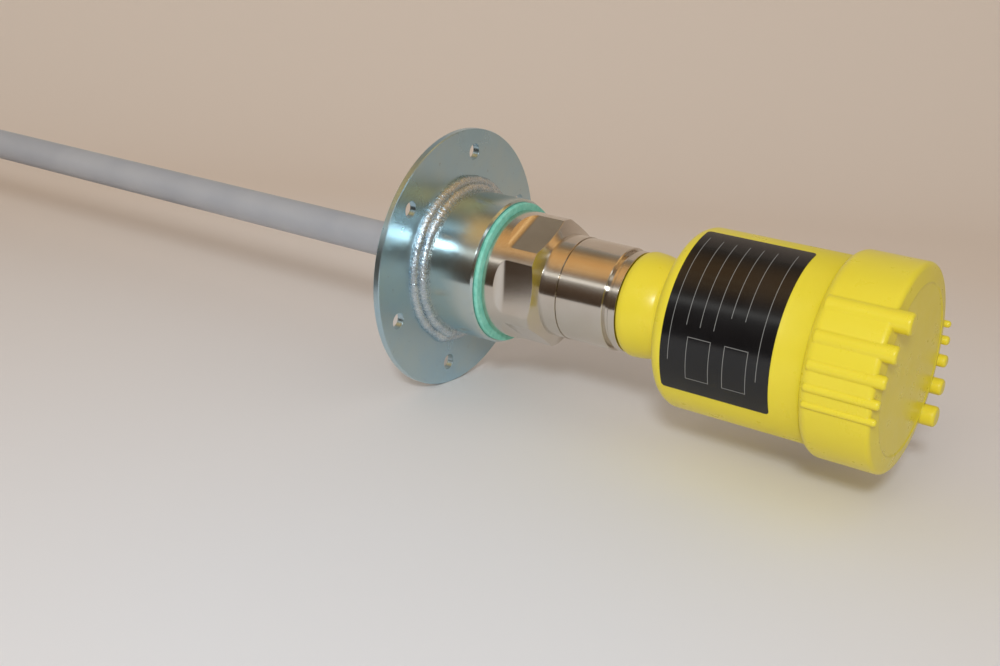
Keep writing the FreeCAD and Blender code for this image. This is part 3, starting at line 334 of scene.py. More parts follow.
FINISHES["zinc_plated_steel"] = zinc_plating(
    "zinc_plated_steel", (174, 207, 225), (193, 213, 218), 0.24, 0.36, disc_marks, 0.24, 0.2)
FINISHES["turned_zinc"] = zinc_plating(
    "turned_zinc", (192, 213, 220), (208, 212, 202), 0.16, 0.23, turning_marks, 0.06, 0.8)
print("finishes:", "zinc_plated_steel turned_zinc")

# %% [markdown]
# ## Weld metal
# The weld was plated with the rest but its surface is rough: ripples, tiny pits and
# spatter that sparkle. The ripples are real geometry further down; the material adds
# the sparkle with a sharp, fine bump and a gloss that changes from spot to spot.

# %% Weld metal
def weld_metal():
    material, wire = new_finish("weld_metal")
    point = place_on_object(wire)
    pits = noise(point, 1500, 3, 0.65)
    patches = noise(point, 240, 3, 0.6)
    colour = blend(remap(patches, 0.35, 0.65), linear(186, 202, 213), linear(212, 220, 224))
    shine = remap(pits, 0.35, 0.65, 0.16, 0.36)
    normal = bump(pits, strength=0.5, distance=0.5 * MM)
    return finished(wire, material, {
        "Base Color": colour, "Metallic": 1.0, "Roughness": shine, "Normal": normal})


FINISHES["weld_metal"] = weld_metal()
print("finish:", "weld_metal")

# %% [markdown]
# ## Turned stainless steel
# Fitting and neck are turned from bar. The tool leaves rings so fine that they are seen
# only through what they do to reflections: they pull every highlight out along the
# axis. An anisotropic shader does just that. Blender's own direction for it runs round
# the Z axis, which is this object's axis, so a constant setting is all it needs.

# %% Stainless steel
def stainless_steel():
    material, wire = new_finish("stainless_steel")
    point = place_on_object(wire)
    x, y, z = split(point)
    rings = noise(joined(x * 12, y * 12, z * 9000), 1, 2, 0.5)
    cloud = noise(point, 60, 3, 0.6)
    colour = blend(remap(cloud, 0.35, 0.65), linear(208, 200, 189), linear(214, 208, 199))
    shine = remap(cloud, 0.3, 0.7, 0.13, 0.18)
    normal = bump(rings, strength=0.06, distance=0.06 * MM, under=soft_edges(wire, 0.2 * MM))
    return finished(wire, material, {
        "Base Color": colour, "Metallic": 1.0, "Roughness": shine, "Normal": normal,
        "Anisotropic": 0.85, "Anisotropic Rotation": 0.25})


FINISHES["stainless_steel"] = stainless_steel()
print("finish:", "stainless_steel")

# %% [markdown]
# ## PTFE rod cover
# PTFE is a waxy, milky white that lets light in, so its edges never look hard. The rod
# has faint lines along its length from being drawn over the core, and it picks up the
# grey of its surroundings.

# %% PTFE
def ptfe():
    material, wire = new_finish("ptfe")
    point = place_on_object(wire)
    x, y, z = split(point)
    drawn = noise(joined(x * 900, y * 900, z * 6), 1, 3, 0.55)
    milky = noise(point, 35, 3, 0.5)
    colour = blend(remap(milky, 0.3, 0.7), linear(166, 168, 174), linear(176, 177, 181))
    shine = remap(drawn, 0.3, 0.7, 0.30, 0.40)
    normal = bump(drawn, strength=0.08, distance=0.2 * MM)
    return finished(wire, material, {
        "Base Color": colour, "Roughness": shine, "Normal": normal, "IOR": 1.38,
        "Subsurface Weight": 0.35, "Subsurface Radius": (0.006, 0.006, 0.007),
        "Subsurface Scale": 0.6})


FINISHES["ptfe"] = ptfe()
print("finish:", "ptfe")

# %% [markdown]
# ## Fibre gasket
# The flat seal between collar and fitting is a pressed fibre sheet in mint green. It is
# matt, slightly mottled, and its cut edge shows the fibres as short streaks.

# %% Gasket
def gasket():
    material, wire = new_finish("gasket")
    point = place_on_object(wire)
    x, y, z = split(point)
    mottle = noise(point, 350, 4, 0.6)
    fibres = noise(joined(x * 500, y * 500, z * 3500), 1, 3, 0.6)
    colour = blend(remap(mottle, 0.35, 0.65), linear(118, 203, 182), linear(148, 222, 203))
    normal = bump(fibres, strength=0.25, distance=0.2 * MM)
    return finished(wire, material, {
        "Base Color": colour, "Roughness": remap(fibres, 0.3, 0.7, 0.5, 0.62), "Normal": normal})


FINISHES["gasket"] = gasket()
print("finish:", "gasket")

# %% [markdown]
# ## Rubber, black plastic and the small metals
# These are mostly inside or on the far side, but each still gets its own surface:
# rubber is matt with a faint bloom, the gland's nylon has a moulded sheen, spring steel
# is dark from hardening, and brass is warm and slightly tarnished.

# %% Rubber and black plastic
def dark_moulding(name, low, high, shine_low, shine_high, grain_scale):
    material, wire = new_finish(name)
    point = place_on_object(wire)
    bloom = noise(point, 90, 4, 0.6)
    grain = noise(point, grain_scale, 2, 0.6)
    colour = blend(remap(bloom, 0.35, 0.7), low, high)
    normal = bump(grain, strength=0.14, distance=0.15 * MM, under=soft_edges(wire, 0.2 * MM))
    return finished(wire, material, {
        "Base Color": colour, "Roughness": remap(bloom, 0.3, 0.7, shine_low, shine_high),
        "Normal": normal})


FINISHES["black_rubber"] = dark_moulding(
    "black_rubber", linear(26, 26, 27), linear(44, 44, 45), 0.60, 0.75, 1800)
FINISHES["black_plastic"] = dark_moulding(
    "black_plastic", linear(24, 24, 26), linear(36, 36, 38), 0.36, 0.46, 2600)
FINISHES["terminal_plastic"] = dark_moulding(
    "terminal_plastic", linear(70, 122, 92), linear(84, 138, 106), 0.38, 0.48, 2200)
print("finishes:", "black_rubber black_plastic terminal_plastic")


# %% Spring steel and brass
def small_metal(name, low, high, shine_low, shine_high):
    material, wire = new_finish(name)
    point = place_on_object(wire)
    tarnish = noise(point, 320, 4, 0.65)
    marks = noise(point, 2400, 2, 0.6)
    colour = blend(remap(tarnish, 0.35, 0.68), low, high)
    normal = bump(marks, strength=0.12, distance=0.1 * MM, under=soft_edges(wire, 0.15 * MM))
    return finished(wire, material, {
        "Base Color": colour, "Metallic": 1.0, "Normal": normal,
        "Roughness": remap(tarnish, 0.3, 0.7, shine_low, shine_high)})


FINISHES["spring_steel"] = small_metal(
    "spring_steel", linear(120, 118, 116), linear(150, 146, 140), 0.26, 0.38)
FINISHES["brass"] = small_metal(
    "brass", linear(206, 168, 96), linear(184, 140, 74), 0.24, 0.40)
print("finishes:", "spring_steel brass")


# %% Board laminate
def board_laminate():
    material, wire = new_finish("board_laminate")
    point = place_on_object(wire)
    weave = noise(point, 1500, 2, 0.5)
    pattern = point.node("ShaderNodeTexBrick", None, {
        "Vector": point, "Scale": 260.0, "Mortar Size": 0.02}, "Fac")
    colour = blend(pattern, linear(20, 84, 52), linear(36, 112, 72))
    return finished(wire, material, {
        "Base Color": colour, "Roughness": remap(weave, 0.3, 0.7, 0.28, 0.40),
        "Normal": bump(weave, strength=0.1, distance=0.1 * MM)})


FINISHES["board_laminate"] = board_laminate()
print("finish:", "board_laminate")

# %% [markdown]
# ## The nameplate
# A thin film is bonded round the housing: glossy black, with a few fine pale rules that
# divide it into blank fields. The print is a pattern on the piece's own coordinates.
# Its height is Z, and the distance along the curve is the angle about the axis times
# the radius, so lines stay true on the curved surface. Every rule is a box, and one
# function gives the distance to a box's edge, so that a filled line and a field's
# outline are the same sum. Rules are written as middle, level and half length, fields as
# middle, level, half length and half height, all in millimetres from the film's middle.

# %% Nameplate film
name_low, name_high = corners("nameplate")
FILM_RADIUS = 36.95 * MM
FILM_MIDDLE = (name_low[2] + name_high[2]) / 2
PRINT_WIDTH = 0.17 * MM
RULES = [(-4.0, -18.5, 27.0), (-11.0, -12.5, 19.0), (-11.0, -7.0, 19.0), (-11.0, -1.5, 19.0),
         (-14.0, 4.0, 16.0), (-14.0, 9.5, 16.0), (-4.0, 17.0, 27.0)]
FIELDS = [(21.0, 8.4, 8.5, 4.6), (21.0, -6.5, 8.5, 4.6)]


def beyond_box(along, height, middle, half_size):
    """How far a point is outside a box on the film, less than 0 inside."""
    side = size_of(along - middle[0] * MM) - half_size[0] * MM
    rise = size_of(height - middle[1] * MM) - half_size[1] * MM
    return side.maths("MAXIMUM", side, rise)


def printed(distance, width):
    return remap(distance, width, width * 0.5)


def nameplate_film():
    material, wire = new_finish("nameplate_film")
    point = place_on_object(wire)
    x, y, z = split(point)
    along = x.maths("ARCTAN2", x, y * -1.0) * FILM_RADIUS
    height = z - FILM_MIDDLE
    ink = None
    for middle, level, half_length in RULES:
        outside = beyond_box(along, height, (middle, level), (half_length, 0.0))
        rule = printed(outside, PRINT_WIDTH)
        ink = rule if ink is None else ink.maths("MAXIMUM", ink, rule)
    for middle, level, half_length, half_height in FIELDS:
        outside = beyond_box(along, height, (middle, level), (half_length, half_height))
        ink = ink.maths("MAXIMUM", ink, printed(size_of(outside), PRINT_WIDTH))
    haze = noise(point, 70, 4, 0.6)
    dust = noise(point, 1400, 2, 0.6)
    film = blend(remap(haze, 0.4, 0.75), linear(15, 15, 17), linear(22, 22, 24))
    colour = blend(ink, film, linear(128, 128, 126))
    normal = bump(dust, strength=0.04, distance=0.08 * MM)
    return finished(wire, material, {
        "Base Color": colour, "Roughness": remap(haze, 0.3, 0.7, 0.14, 0.22), "Normal": normal})


FINISHES["nameplate_film"] = nameplate_film()
print("finish:", "nameplate_film")

# %% [markdown]
# ## Dress the CAD nodes
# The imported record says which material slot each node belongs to. The finish goes into
# the object's own slots, and the mesh stays as it is.

# %% Give each node its finish
FINISH_OF = {part["node"]: part["material_slot"] for part in frame["record"]["subparts"]}
FINISH_OF.update({"threaded_collar": "turned_zinc", "housing_lid": "lid_plastic"})
for node_name, node in frame["nodes"].items():
    for own_slot in node.material_slots:
        own_slot.material = FINISHES[FINISH_OF[node_name]]
print("dressed nodes:", len(FINISH_OF))

# %% [markdown]
# ## Growing repeated shapes
# Weld ripples and screw threads repeat along a path, which is what Geometry Nodes are
# good at. Each tree gets named inputs. The result is turned into a plain mesh at once,
# because the finished piece must carry no modifier.

# %% Helpers for Geometry Nodes
def new_tree(name, inputs):
    """A tree with one geometry output and the named inputs, given as name: (kind, value)."""
    tree = bpy.data.node_groups.new(name, "GeometryNodeTree")
    tree.interface.new_socket(
        name="Geometry", in_out="OUTPUT", socket_type="NodeSocketGeometry")
    for label, (kind, value) in inputs.items():
        socket = tree.interface.new_socket(name=label, in_out="INPUT", socket_type=kind)
        if value is not None:
            socket.default_value = value
    return Wire(tree)


def asked(wire, label):
    return wire.node("NodeGroupInput", out=label)


def end_tree(wire, geometry, material):
    real = wire.node("GeometryNodeRealizeInstances", None, {"Geometry": geometry})
    smooth = wire.node("GeometryNodeSetShadeSmooth", None, {"Geometry": real})
    done = wire.node("GeometryNodeSetMaterial", None, {"Geometry": smooth, "Material": material})
    wire.node("NodeGroupOutput", None, {"Geometry": done})


def grown(name, wire, values, body):
    """Evaluates a tree on an empty mesh and keeps only the plain mesh that it makes."""
    piece = object_of(name, bpy.data.meshes.new(name))
    modifier = piece.modifiers.new("grow", "NODES")
    modifier.node_group = wire.tree
    for item in wire.tree.interface.items_tree:
        if item.in_out == "INPUT" and item.name in values:
            modifier[item.identifier] = values[item.name]
    graph = bpy.context.evaluated_depsgraph_get()
    made = bpy.data.meshes.new_from_object(piece.evaluated_get(graph))
    piece.modifiers.clear()
    piece.data = made
    made.name = name
    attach(piece, body)
    made.calc_loop_triangles()
    print(name, "triangles:", len(made.loop_triangles))
    return piece


# %% [markdown]
# ## The weld
# The collar is joined to the plate by a fillet weld of two passes, one laid half over
# the other. A weld pool freezes in crescents, so each pass is a strand with ripples
# that bend back at its sides, uneven in height and spacing, and with a swelling where
# the welder stopped and started. The tree sweeps a circle round the collar and then
# pushes its points in and out: the ripple is a saw tooth of the angle, bent by the
# place across the strand and disturbed by noise.

# %% Grow the weld
WELD = {
    "Outer Ring": 34.9 * MM, "Inner Ring": 32.0 * MM, "Outer Height": 3.5 * MM,
    "Inner Height": 6.1 * MM, "Strand": 2.35 * MM, "Ripples": 96.0,
    "Ripple Height": 0.14 * MM, "Unevenness": 1.5 * MM, "Grain": 0.6 * MM,
    "Lump Angle": math.radians(4.0), "Lump Width": 0.10, "Lump Height": 0.9 * MM}
STEPS_ROUND_COLLAR = 1440
STEPS_ROUND_STRAND = 22
OUTER_SEED = 2.0
INNER_SEED = 9.0


def moving_noise(point, seed, scale, detail, roughness=0.5):
    """A noise with a seed of its own, so that the two passes differ."""
    return point.node("ShaderNodeTexNoise", {"noise_dimensions": "4D"}, {
        "Vector": point, "W": seed, "Scale": scale, "Detail": detail, "Roughness": roughness})


def weld_push(wire, ring, strand, seed):
    """How far each point of a strand is pushed out."""
    point = wire.node("GeometryNodeInputPosition")
    x, y, z = split(point)
    angle = x.maths("ARCTAN2", y, x)
    across = ((x * x + y * y) ** 0.5 - ring - z) / strand
    warp = moving_noise(point, seed, 190.0, 2.0)
    uneven = moving_noise(point, seed + 3.0, 75.0, 3.0)
    fine = moving_noise(point, seed + 6.0, 620.0, 3.0, 0.65)
    count = asked(wire, "Ripples") / (2 * math.pi)
    phase = angle * count + across * across * 0.35 + warp * 1.3
    tooth = phase.maths("FRACT", phase)
    ripple = tooth * (1.0 - tooth ** 6.0)
    swell = (angle - asked(wire, "Lump Angle")) / asked(wire, "Lump Width")
    lump = swell.maths("EXPONENT", swell * swell * -1.0) * asked(wire, "Lump Height")
    push = ripple * asked(wire, "Ripple Height") * (uneven * 1.6 + 0.2)
    push = push + (uneven - 0.5) * asked(wire, "Unevenness")
    return push + (fine - 0.5) * asked(wire, "Grain") + lump


def weld_strand(wire, ring, strand, height, seed):
    circle = "GeometryNodeCurvePrimitiveCircle"
    path = wire.node(circle, None, {"Resolution": STEPS_ROUND_COLLAR, "Radius": ring})
    section = wire.node(circle, None, {"Resolution": STEPS_ROUND_STRAND, "Radius": strand})
    swept = wire.node("GeometryNodeCurveToMesh", None, {"Curve": path, "Profile Curve": section})
    offset = wire.node("ShaderNodeVectorMath", {"operation": "SCALE"}, {
        0: wire.node("GeometryNodeInputNormal"), "Scale": weld_push(wire, ring, strand, seed)})
    moved = wire.node("GeometryNodeSetPosition", None, {"Geometry": swept, "Offset": offset})
    return wire.node("GeometryNodeTransform", None, {
        "Geometry": moved, "Translation": joined(0.0, 0.0, height)})


def weld_tree():
    wire = new_tree("weld_of_two_passes", {
        label: ("NodeSocketFloat", value) for label, value in WELD.items()})
    strand = asked(wire, "Strand")
    outer = weld_strand(
        wire, asked(wire, "Outer Ring"), strand, asked(wire, "Outer Height"), OUTER_SEED)
    inner = weld_strand(
        wire, asked(wire, "Inner Ring"), strand, asked(wire, "Inner Height"), INNER_SEED)
    both = wire.node("GeometryNodeJoinGeometry", None, {"Geometry": outer})
    wire.tree.links.new(inner.socket, both.socket.node.inputs["Geometry"])
    end_tree(wire, both, FINISHES["weld_metal"])
    return wire


weld = grown("weld_passes", weld_tree(), WELD, "probe")
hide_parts("weld_bead")

# %% [markdown]
# ## The housing's shoulder
# Between its neck and its round body the real housing is drawn in more sharply than the
# solid: the neck is longer, and the shoulder is flatter and turns with a smaller radius.
# The CAD mesh itself is never touched, so a copy of it is merged and its outer skin is
# slid along the axis in that zone. The first table gives the skin as heights and radii in
# millimetres, which tells the skin from the inside of the wall. Pairs of heights, before
# and after, say how far a point slides; its radius stays.

# %% Draw the shoulder in
SKIN = [(96.63, 21.85), (98.58, 21.67), (101.11, 21.13), (103.53, 20.23), (105.8, 19.0),
        (112.2, 30.9), (112.72, 31.8), (114.01, 33.44), (115.61, 34.78), (117.44, 35.78),
        (119.43, 36.39), (121.5, 36.6)]
HEIGHT_BEFORE = [96.63, 105.8, 107.4, 112.2, 115.61, 118.42, 121.5]
HEIGHT_AFTER = [96.63, 109.4, 112.0, 115.2, 117.3, 119.4, 121.5]
SKIN_DEPTH = 0.12
MERGE_DISTANCE = 0.002 * MM
HOUSING_CREASE = math.radians(28)


def draw_shoulder_in():
    build = bmesh.new()
    build.from_mesh(frame["nodes"]["housing_body"].data)
    bmesh.ops.remove_doubles(build, verts=build.verts[:], dist=MERGE_DISTANCE)
    skin_height, skin_radius = np.array(SKIN).T
    moved = 0
    for vertex in build.verts:
        height = vertex.co.z / MM
        radius = math.hypot(vertex.co.x, vertex.co.y) / MM
        inside_zone = HEIGHT_BEFORE[0] < height < HEIGHT_BEFORE[-1]
        skin = np.interp(height, skin_height, skin_radius)
        if inside_zone and radius > skin - SKIN_DEPTH:
            vertex.co.z = float(np.interp(height, HEIGHT_BEFORE, HEIGHT_AFTER)) * MM
            moved += 1
    mesh = mesh_of(build, "housing_shell")
    mesh.set_sharp_from_angle(angle=HOUSING_CREASE)
    print("shoulder points moved:", moved, "of", len(mesh.vertices))
    return object_of("housing_shell", mesh)


shell = draw_shoulder_in()
shell.data.materials.append(FINISHES["yellow_plastic"])
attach(shell, "housing")
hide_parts("housing_body")

# %% [markdown]
# ## Screw threads
# The lid screws onto the housing's mouth, the fitting into the collar, and the gland's
# cap onto its body. The CAD solids stop at the thread's root, so the ridge is grown
# here: a helix, with a rounded profile swept along it, that thins out at both ends as a
# real thread runs out. Both threads of the lid are right-handed with the pitch that
# the lid's joint has, and half a pitch apart, so they stay in mesh while it turns.

# %% A tree for any thread
RUN_OUT = 2.2


def thread_tree():
    number = "NodeSocketFloat"
    wire = new_tree("thread", {
        "Radius": (number, 0.03), "Pitch": (number, 0.003), "Turns": (number, 4.0),
        "Ridge": (number, 0.0008), "Steps": ("NodeSocketInt", 96),
        "Foot": ("NodeSocketVector", None), "Direction": ("NodeSocketVector", None),
        "Finish": ("NodeSocketMaterial", None)})
    turns = asked(wire, "Turns")
    helix = wire.node("GeometryNodeCurveSpiral", None, {
        "Resolution": asked(wire, "Steps"), "Rotations": turns,
        "Start Radius": asked(wire, "Radius"), "End Radius": asked(wire, "Radius"),
        "Height": turns * asked(wire, "Pitch")})
    along = wire.node("GeometryNodeSplineParameter")
    from_start = along * turns * RUN_OUT
    run_out = along.maths("MINIMUM", from_start, (1.0 - along) * turns * RUN_OUT)
    width = run_out.maths("MINIMUM", run_out + 0.05, 1.0)
    upright = wire.node("GeometryNodeSetCurveNormal", {"mode": "Z_UP"}, {"Curve": helix})
    section = wire.node("GeometryNodeCurvePrimitiveCircle", None, {
        "Resolution": 10, "Radius": asked(wire, "Ridge")})
    swept = wire.node("GeometryNodeCurveToMesh", None, {
        "Curve": upright, "Profile Curve": section, "Scale": width, "Fill Caps": True})
    aimed = wire.node("FunctionNodeAlignRotationToVector", {"axis": "Z"}, {
        "Vector": asked(wire, "Direction")})
    placed = wire.node("GeometryNodeTransform", None, {
        "Geometry": swept, "Rotation": aimed, "Translation": asked(wire, "Foot")})
    end_tree(wire, placed, asked(wire, "Finish"))
    return wire


THREAD = thread_tree()
print("thread tree nodes:", len(THREAD.tree.nodes))

# %% Cut the threads
UPWARDS = Vector((0.0, 0.0, 1.0))
LID_PITCH = 3.0
COLLAR_PITCH = 2.309
GLAND_PITCH = 1.5
LID_THREAD_FOOT = UPWARDS * (182.6 * MM)
COLLAR_THREAD_FOOT = UPWARDS * (4.3 * MM)
GLAND_AXIS = Vector((-0.4226183, 0.9063078, 0.0))
GLAND_THREAD_FOOT = GLAND_AXIS * (48.0 * MM) + UPWARDS * (160.0 * MM)


def thread(name, body, finish, radius, pitch, turns, ridge, foot, axis=UPWARDS):
    """Radius, pitch and ridge are in millimetres, and the foot is a place in metres."""
    return grown(name, THREAD, {
        "Radius": radius * MM, "Pitch": pitch * MM, "Turns": turns, "Ridge": ridge * MM,
        "Foot": tuple(foot), "Direction": tuple(axis), "Finish": FINISHES[finish]},
        body)


thread("housing_mouth_thread", "housing", "yellow_plastic",
       radius=35.3, pitch=LID_PITCH, turns=4.1, ridge=0.85, foot=LID_THREAD_FOOT)
thread("lid_inner_thread", "lid", "yellow_plastic",
       radius=36.5, pitch=LID_PITCH, turns=3.8, ridge=0.75,
       foot=LID_THREAD_FOOT + UPWARDS * (LID_PITCH / 2 * MM))
thread("collar_inner_thread", "probe", "turned_zinc",
       radius=24.1, pitch=COLLAR_PITCH, turns=1.8, ridge=1.1, foot=COLLAR_THREAD_FOOT)
thread("gland_body_thread", "housing", "black_plastic",
       radius=9.3, pitch=GLAND_PITCH, turns=5.0, ridge=0.34, foot=GLAND_THREAD_FOOT,
       axis=GLAND_AXIS)

# %% [markdown]
# ## Turned shapes of the scene
# Two small parts deserve a finer outline than their solids have. The gasket bulges a
# little where the fitting presses on it, and shows the line where its two layers meet.
# The earth screw has a rounded head with a hexagon socket. Both are outlines turned
# round an axis: each row of the outline gives a radius and a height, and a row marked
# as a hexagon pulls its circle to six sides.

# %% Turn an outline
TURNED_CREASE = math.radians(35)


def hexagon_reach(angle, flats):
    """Distance from the middle to the side of a hexagon in one direction."""
    return flats / math.cos((angle + math.pi / 6) % (math.pi / 3) - math.pi / 6)


def turned(name, outline, segments, closed):
    """Rows are (radius, height) or (radius, height, "hexagon"), all in millimetres."""
    build = bmesh.new()
    rings = []
    for row in outline:
        ring = []
        for step in range(segments):
            angle = 2 * math.pi * step / segments
            radius = hexagon_reach(angle, row[0]) if len(row) > 2 else row[0]
            place = Vector((radius * math.cos(angle), radius * math.sin(angle), row[1]))
            ring.append(build.verts.new(place * MM))
        rings.append(ring)
    following = rings[1:] + [rings[0]] if closed else rings[1:]
    for lower, upper in zip(rings, following):
        for step in range(segments):
            after = (step + 1) % segments
            build.faces.new((lower[step], lower[after], upper[after], upper[step]))
    if not closed:
        build.faces.new(rings[0])
        build.faces.new(rings[-1])
    bmesh.ops.recalc_face_normals(build, faces=build.faces[:])
    mesh = mesh_of(build, name)
    mesh.set_sharp_from_angle(angle=TURNED_CREASE)
    print(name, "faces:", len(mesh.polygons))
    return object_of(name, mesh)


# %% Gasket between collar and fitting
seal_low, seal_high = corners("seal_ring")
SEAL_BORE = 24.6
low, high, reach = seal_low[2] / MM, seal_high[2] / MM, seal_high[0] / MM
gasket_ring = turned("pressed_gasket", [
    (SEAL_BORE, low), (reach - 0.5, low), (reach - 0.22, low + 0.10),
    (reach - 0.04, low + 0.34), (reach - 0.03, low + 0.52), (reach - 0.20, low + 0.64),
    (reach - 0.36, low + 0.68), (reach - 0.20, low + 0.73), (reach - 0.03, low + 0.84),
    (reach, low + 1.10), (reach, high - 0.48), (reach - 0.08, high - 0.20),
    (reach - 0.30, high - 0.04), (reach - 0.55, high), (SEAL_BORE, high)],
    segments=192, closed=True)
gasket_ring.data.materials.append(FINISHES["gasket"])
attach(gasket_ring, "probe")
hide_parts("seal_ring")

# %% Earth screw
SIDEWAYS = Vector((0.0, 1.0, 0.0))
UP_TO_SIDE = UPWARDS.rotation_difference(SIDEWAYS).to_matrix().to_4x4()
EARTH_HEIGHT = 126.0 * MM
earth_screw = turned("earth_screw", [
    (1.9, 34.6), (2.0, 34.8), (2.0, 41.1), (3.2, 41.1), (3.45, 41.2), (3.5, 41.4), (3.5, 42.9),
    (3.42, 43.3), (3.2, 43.58), (2.9, 43.7), (1.75, 43.7, "hexagon"), (1.6, 43.55, "hexagon"),
    (1.6, 42.2, "hexagon"), (0.2, 42.0)], segments=48, closed=False)
to_side = Matrix.Translation(UPWARDS * EARTH_HEIGHT) @ UP_TO_SIDE
earth_screw.data.transform(to_side)
earth_screw.data.materials.append(FINISHES["stainless_steel"])
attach(earth_screw, "housing")
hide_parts("ground_screw")

# %% [markdown]
# ## The stage
# The probe lies on a pale sheet of paper that sweeps up behind it. Here the probe keeps
# its own frame, with its axis along Z, so the paper is what is tilted: the probe stands
# on the flange's rim, and its axis is level. Seen from behind the paper lets the view
# through, so that the object can be looked at from every side. The milled flats mirror
# something dark left of the view, so for glossy rays only, the sheet stops there.

# %% Paper sweep
PAPER_UP = Vector((-0.913, -0.408, 0.0)).normalized()
PAPER_LEVEL = -plate_radius
PAPER_FRONT = -2.4
PAPER_HALF_WIDTH = 3.2
PAPER_HEIGHT = 1.6
SWEEP_RADIUS = 0.35
SWEEP_START = 0.42
SWEEP_STEPS = 24
MIRRORED_FRONT = -0.42
MIRRORED_END = 0.16
MIRRORED_EDGE = 0.01
view_away = -CAMERA_BACK
PAPER_AWAY = (view_away - PAPER_UP * view_away.dot(PAPER_UP)).normalized()
PAPER_SIDE = PAPER_UP.cross(PAPER_AWAY)
# The middle of a pool of cool lamp light that is painted into the paper's colour.
PAPER_PAINTED_POOL = PAPER_AWAY * -0.22 + PAPER_UP * PAPER_LEVEL


def sweep_profile():
    """Distance away and height of the sheet, from its front edge up its back."""
    rows = [(PAPER_FRONT, 0.0), (0.0, 0.0), (SWEEP_START, 0.0)]
    for step in range(1, SWEEP_STEPS + 1):
        bend = math.radians(90 * step / SWEEP_STEPS)
        away = SWEEP_START + SWEEP_RADIUS * math.sin(bend)
        rows.append((away, SWEEP_RADIUS * (1 - math.cos(bend))))
    rows.append((SWEEP_START + SWEEP_RADIUS, PAPER_HEIGHT))
    return rows


def paper_sweep():
    build = bmesh.new()
    rows = []
    for away, up in sweep_profile():
        row = []
        for side in (-PAPER_HALF_WIDTH, 0.0, PAPER_HALF_WIDTH):
            place = PAPER_AWAY * away + PAPER_SIDE * side + PAPER_UP * (PAPER_LEVEL + up)
            row.append(build.verts.new(place))
        rows.append(row)
    for below, above in zip(rows, rows[1:]):
        for left in range(2):
            build.faces.new((below[left], below[left + 1], above[left + 1], above[left]))
    build.normal_update()
    if build.faces[:][0].normal.dot(PAPER_UP) < 0:
        bmesh.ops.reverse_faces(build, faces=build.faces[:])
    return object_of("paper_sweep", mesh_of(build, "paper_sweep"))


paper = paper_sweep()
print("paper faces:", len(paper.data.polygons))


# %% Paper finish
def along_axis(vector, axis):
    return vector.node("ShaderNodeVectorMath", {"operation": "DOT_PRODUCT"},
                       {0: vector, 1: tuple(axis)}, "Value")


def paper_finish():
    material, wire = new_finish("paper")
    point = place_on_object(wire)
    from_painted_pool = point.node("ShaderNodeVectorMath", {"operation": "DISTANCE"},
                            {0: point, 1: tuple(PAPER_PAINTED_POOL)}, "Value")
    # Painted light: the paper is cool white round that spot, standing for the cool lamp's light,
    # and turns warm beige further off, standing for the warm lamp's light.
    colour = blend(remap(from_painted_pool, 0.06, 0.62), linear(233, 234, 238), linear(236, 222, 209))
    matt = wire.node("ShaderNodeBsdfPrincipled", None, {"Base Color": colour, "Roughness": 0.9})
    clear = wire.node("ShaderNodeBsdfTransparent")
    behind = wire.node("ShaderNodeNewGeometry", out="Backfacing")
    to_left = along_axis(point, PAPER_SIDE)
    nearer = along_axis(point, PAPER_AWAY) * -1.0
    glossy = wire.node("ShaderNodeLightPath", out="Is Glossy Ray")
    past_side = remap(to_left, MIRRORED_END, MIRRORED_END + MIRRORED_EDGE)
    past_front = remap(nearer, -MIRRORED_FRONT, -MIRRORED_FRONT + MIRRORED_EDGE)
    ended = glossy * past_side.maths("MAXIMUM", past_side, past_front)
    unseen = behind.maths("MAXIMUM", behind, ended)
    shader = wire.node("ShaderNodeMixShader", None, {0: unseen, 1: matt, 2: clear})
    wire.node("ShaderNodeOutputMaterial", None, {"Surface": shader})
    return material


paper.data.materials.append(paper_finish())

# %% [markdown]
# ## Light
# Two plain soft lamps and an even pale world light the scene. The first lamp stands just
# above the lens and is cool, so its shadows are short and lie below the object. The
# second is warm and stands behind the camera. Polished metal needs something to mirror.
# So the world holds pale, warm and dark bands, given as degrees round the probe's axis
# and colours, with fine streaks in the warm one. Only glossy rays see them, so they
# change no other light.

# %% World
BANDS = [
    (0, (205, 196, 186)), (16, (158, 150, 142)), (28, (134, 131, 128)), (52, (140, 136, 130)),
    (62, (112, 104, 90)), (72, (154, 118, 74)), (88, (204, 158, 100)), (104, (172, 128, 80)),
    (116, (128, 110, 90)), (125, (120, 114, 106)), (128, (255, 255, 250)), (133, (255, 255, 250)),
    (136, (122, 118, 114)), (150, (92, 84, 76)), (164, (72, 60, 50)), (196, (56, 46, 38)),
    (320, (70, 62, 54)), (345, (160, 150, 140)), (360, (205, 196, 186))]
FILL_LEFT = (192, 187, 181)
FILL_RIGHT = (146, 140, 134)
WORLD_SEEN = (222, 220, 218)
BANDS_LIGHT = 1.6
DARK_STREAK = (62, 46, 32)
GOLD_STREAK = (255, 232, 180)
WARM_BAND_MIDDLE = 91 / 360
WARM_BAND_HALF = 22 / 360
WARM_BAND_FULL = 15 / 360


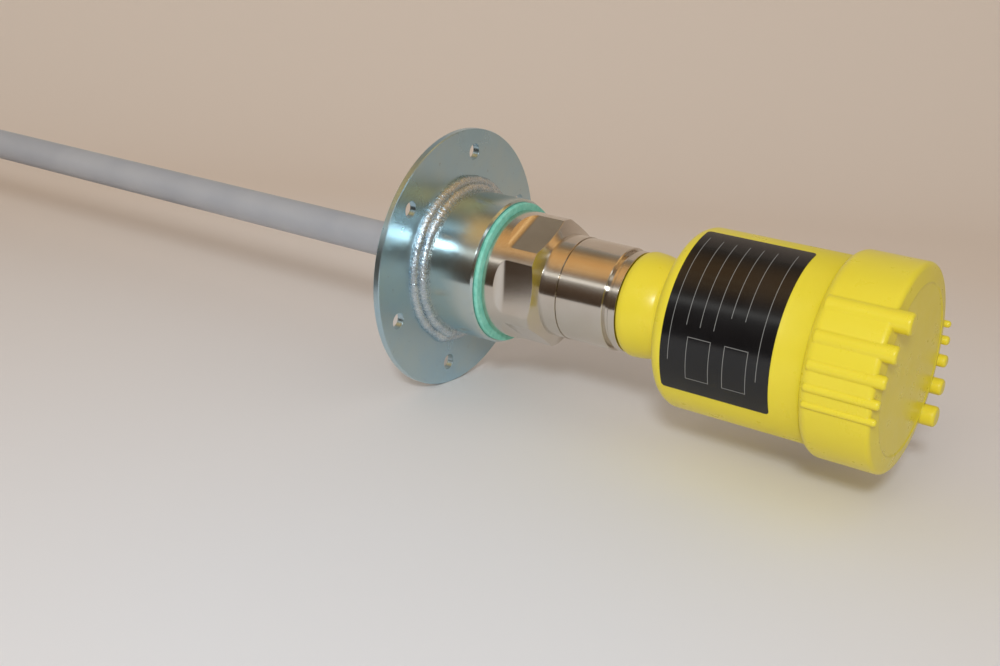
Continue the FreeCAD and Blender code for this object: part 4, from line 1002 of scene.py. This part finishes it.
def world_light():
    world = bpy.data.worlds.new("bands")
    world.use_nodes = True
    world.node_tree.nodes.clear()
    wire = Wire(world.node_tree)
    direction = wire.node("ShaderNodeTexCoord", out="Generated")
    axes = (PAPER_UP, PAPER_AWAY, PAPER_SIDE)
    up, away, side = (along_axis(direction, axis) for axis in axes)
    part_turn = up.maths("ARCTAN2", up, away) * (0.5 / math.pi)
    full_turn = part_turn.maths("FRACT", part_turn + 1.0)
    bands = wire.node("ShaderNodeValToRGB", {"stops": [
        (degrees / 360, linear(*colour)) for degrees, colour in BANDS]}, {"Fac": full_turn})
    dark = noise(joined(part_turn * 190, side * 1.4, 0.0), 1, 2, 0.6)
    bands = blend(remap(dark, 0.44, 0.62, 0.0, 0.4), bands, linear(*DARK_STREAK))
    gold = noise(joined(part_turn * 310, side * 0.7, 4.0), 1, 1, 0.5)
    from_middle = size_of(full_turn - WARM_BAND_MIDDLE)
    in_warm_band = remap(from_middle, WARM_BAND_HALF, WARM_BAND_FULL)
    bands = blend(remap(gold, 0.60, 0.63) * in_warm_band, bands, linear(*GOLD_STREAK))
    glossy = wire.node("ShaderNodeLightPath", out="Is Glossy Ray")
    seen = wire.node("ShaderNodeLightPath", out="Is Camera Ray")
    fill = blend(remap(side, -0.9, 0.5), linear(*FILL_RIGHT), linear(*FILL_LEFT))
    plain = blend(seen, fill, linear(*WORLD_SEEN))
    background = wire.node("ShaderNodeBackground", None, {
        "Color": blend(glossy, plain, bands), "Strength": glossy * (BANDS_LIGHT - 1.0) + 1.0})
    wire.node("ShaderNodeOutputWorld", None, {"Surface": background})
    bpy.context.scene.world = world


world_light()
print("world fill, left and right:", FILL_LEFT, FILL_RIGHT)


# %% Two soft lamps
def soft_lamp(name, place, aim, width, watts, colour, mirrored):
    data = bpy.data.lights.new(name, "AREA")
    data.shape = "DISK"
    data.size = width
    data.energy = watts
    data.color = colour
    lamp = object_of(name, data)
    towards = (Vector(aim) - place).normalized()
    facing = towards.to_track_quat("-Z", "Y").to_matrix().to_4x4()
    lamp.matrix_world = Matrix.Translation(place) @ facing
    lamp.visible_glossy = mirrored


HOUSING_MIDDLE = (0.0, 0.0, 0.10)
OVER_LENS = CAMERA_AT + CAMERA_BACK * 0.62 + CAMERA_UP * 0.26 - CAMERA_RIGHT * 0.08
BEHIND_LENS = PAPER_AWAY * -1.15 + PAPER_SIDE * 0.4 + PAPER_UP * 0.85
soft_lamp("cool_lamp", OVER_LENS, HOUSING_MIDDLE, width=0.16, watts=6.4,
          colour=(0.88, 0.95, 1.0), mirrored=True)
soft_lamp("warm_lamp", BEHIND_LENS, HOUSING_MIDDLE, width=0.5, watts=2.6,
          colour=(1.0, 0.90, 0.78), mirrored=False)
print("lamps:", 2)

# %% Finish
print("scene built")
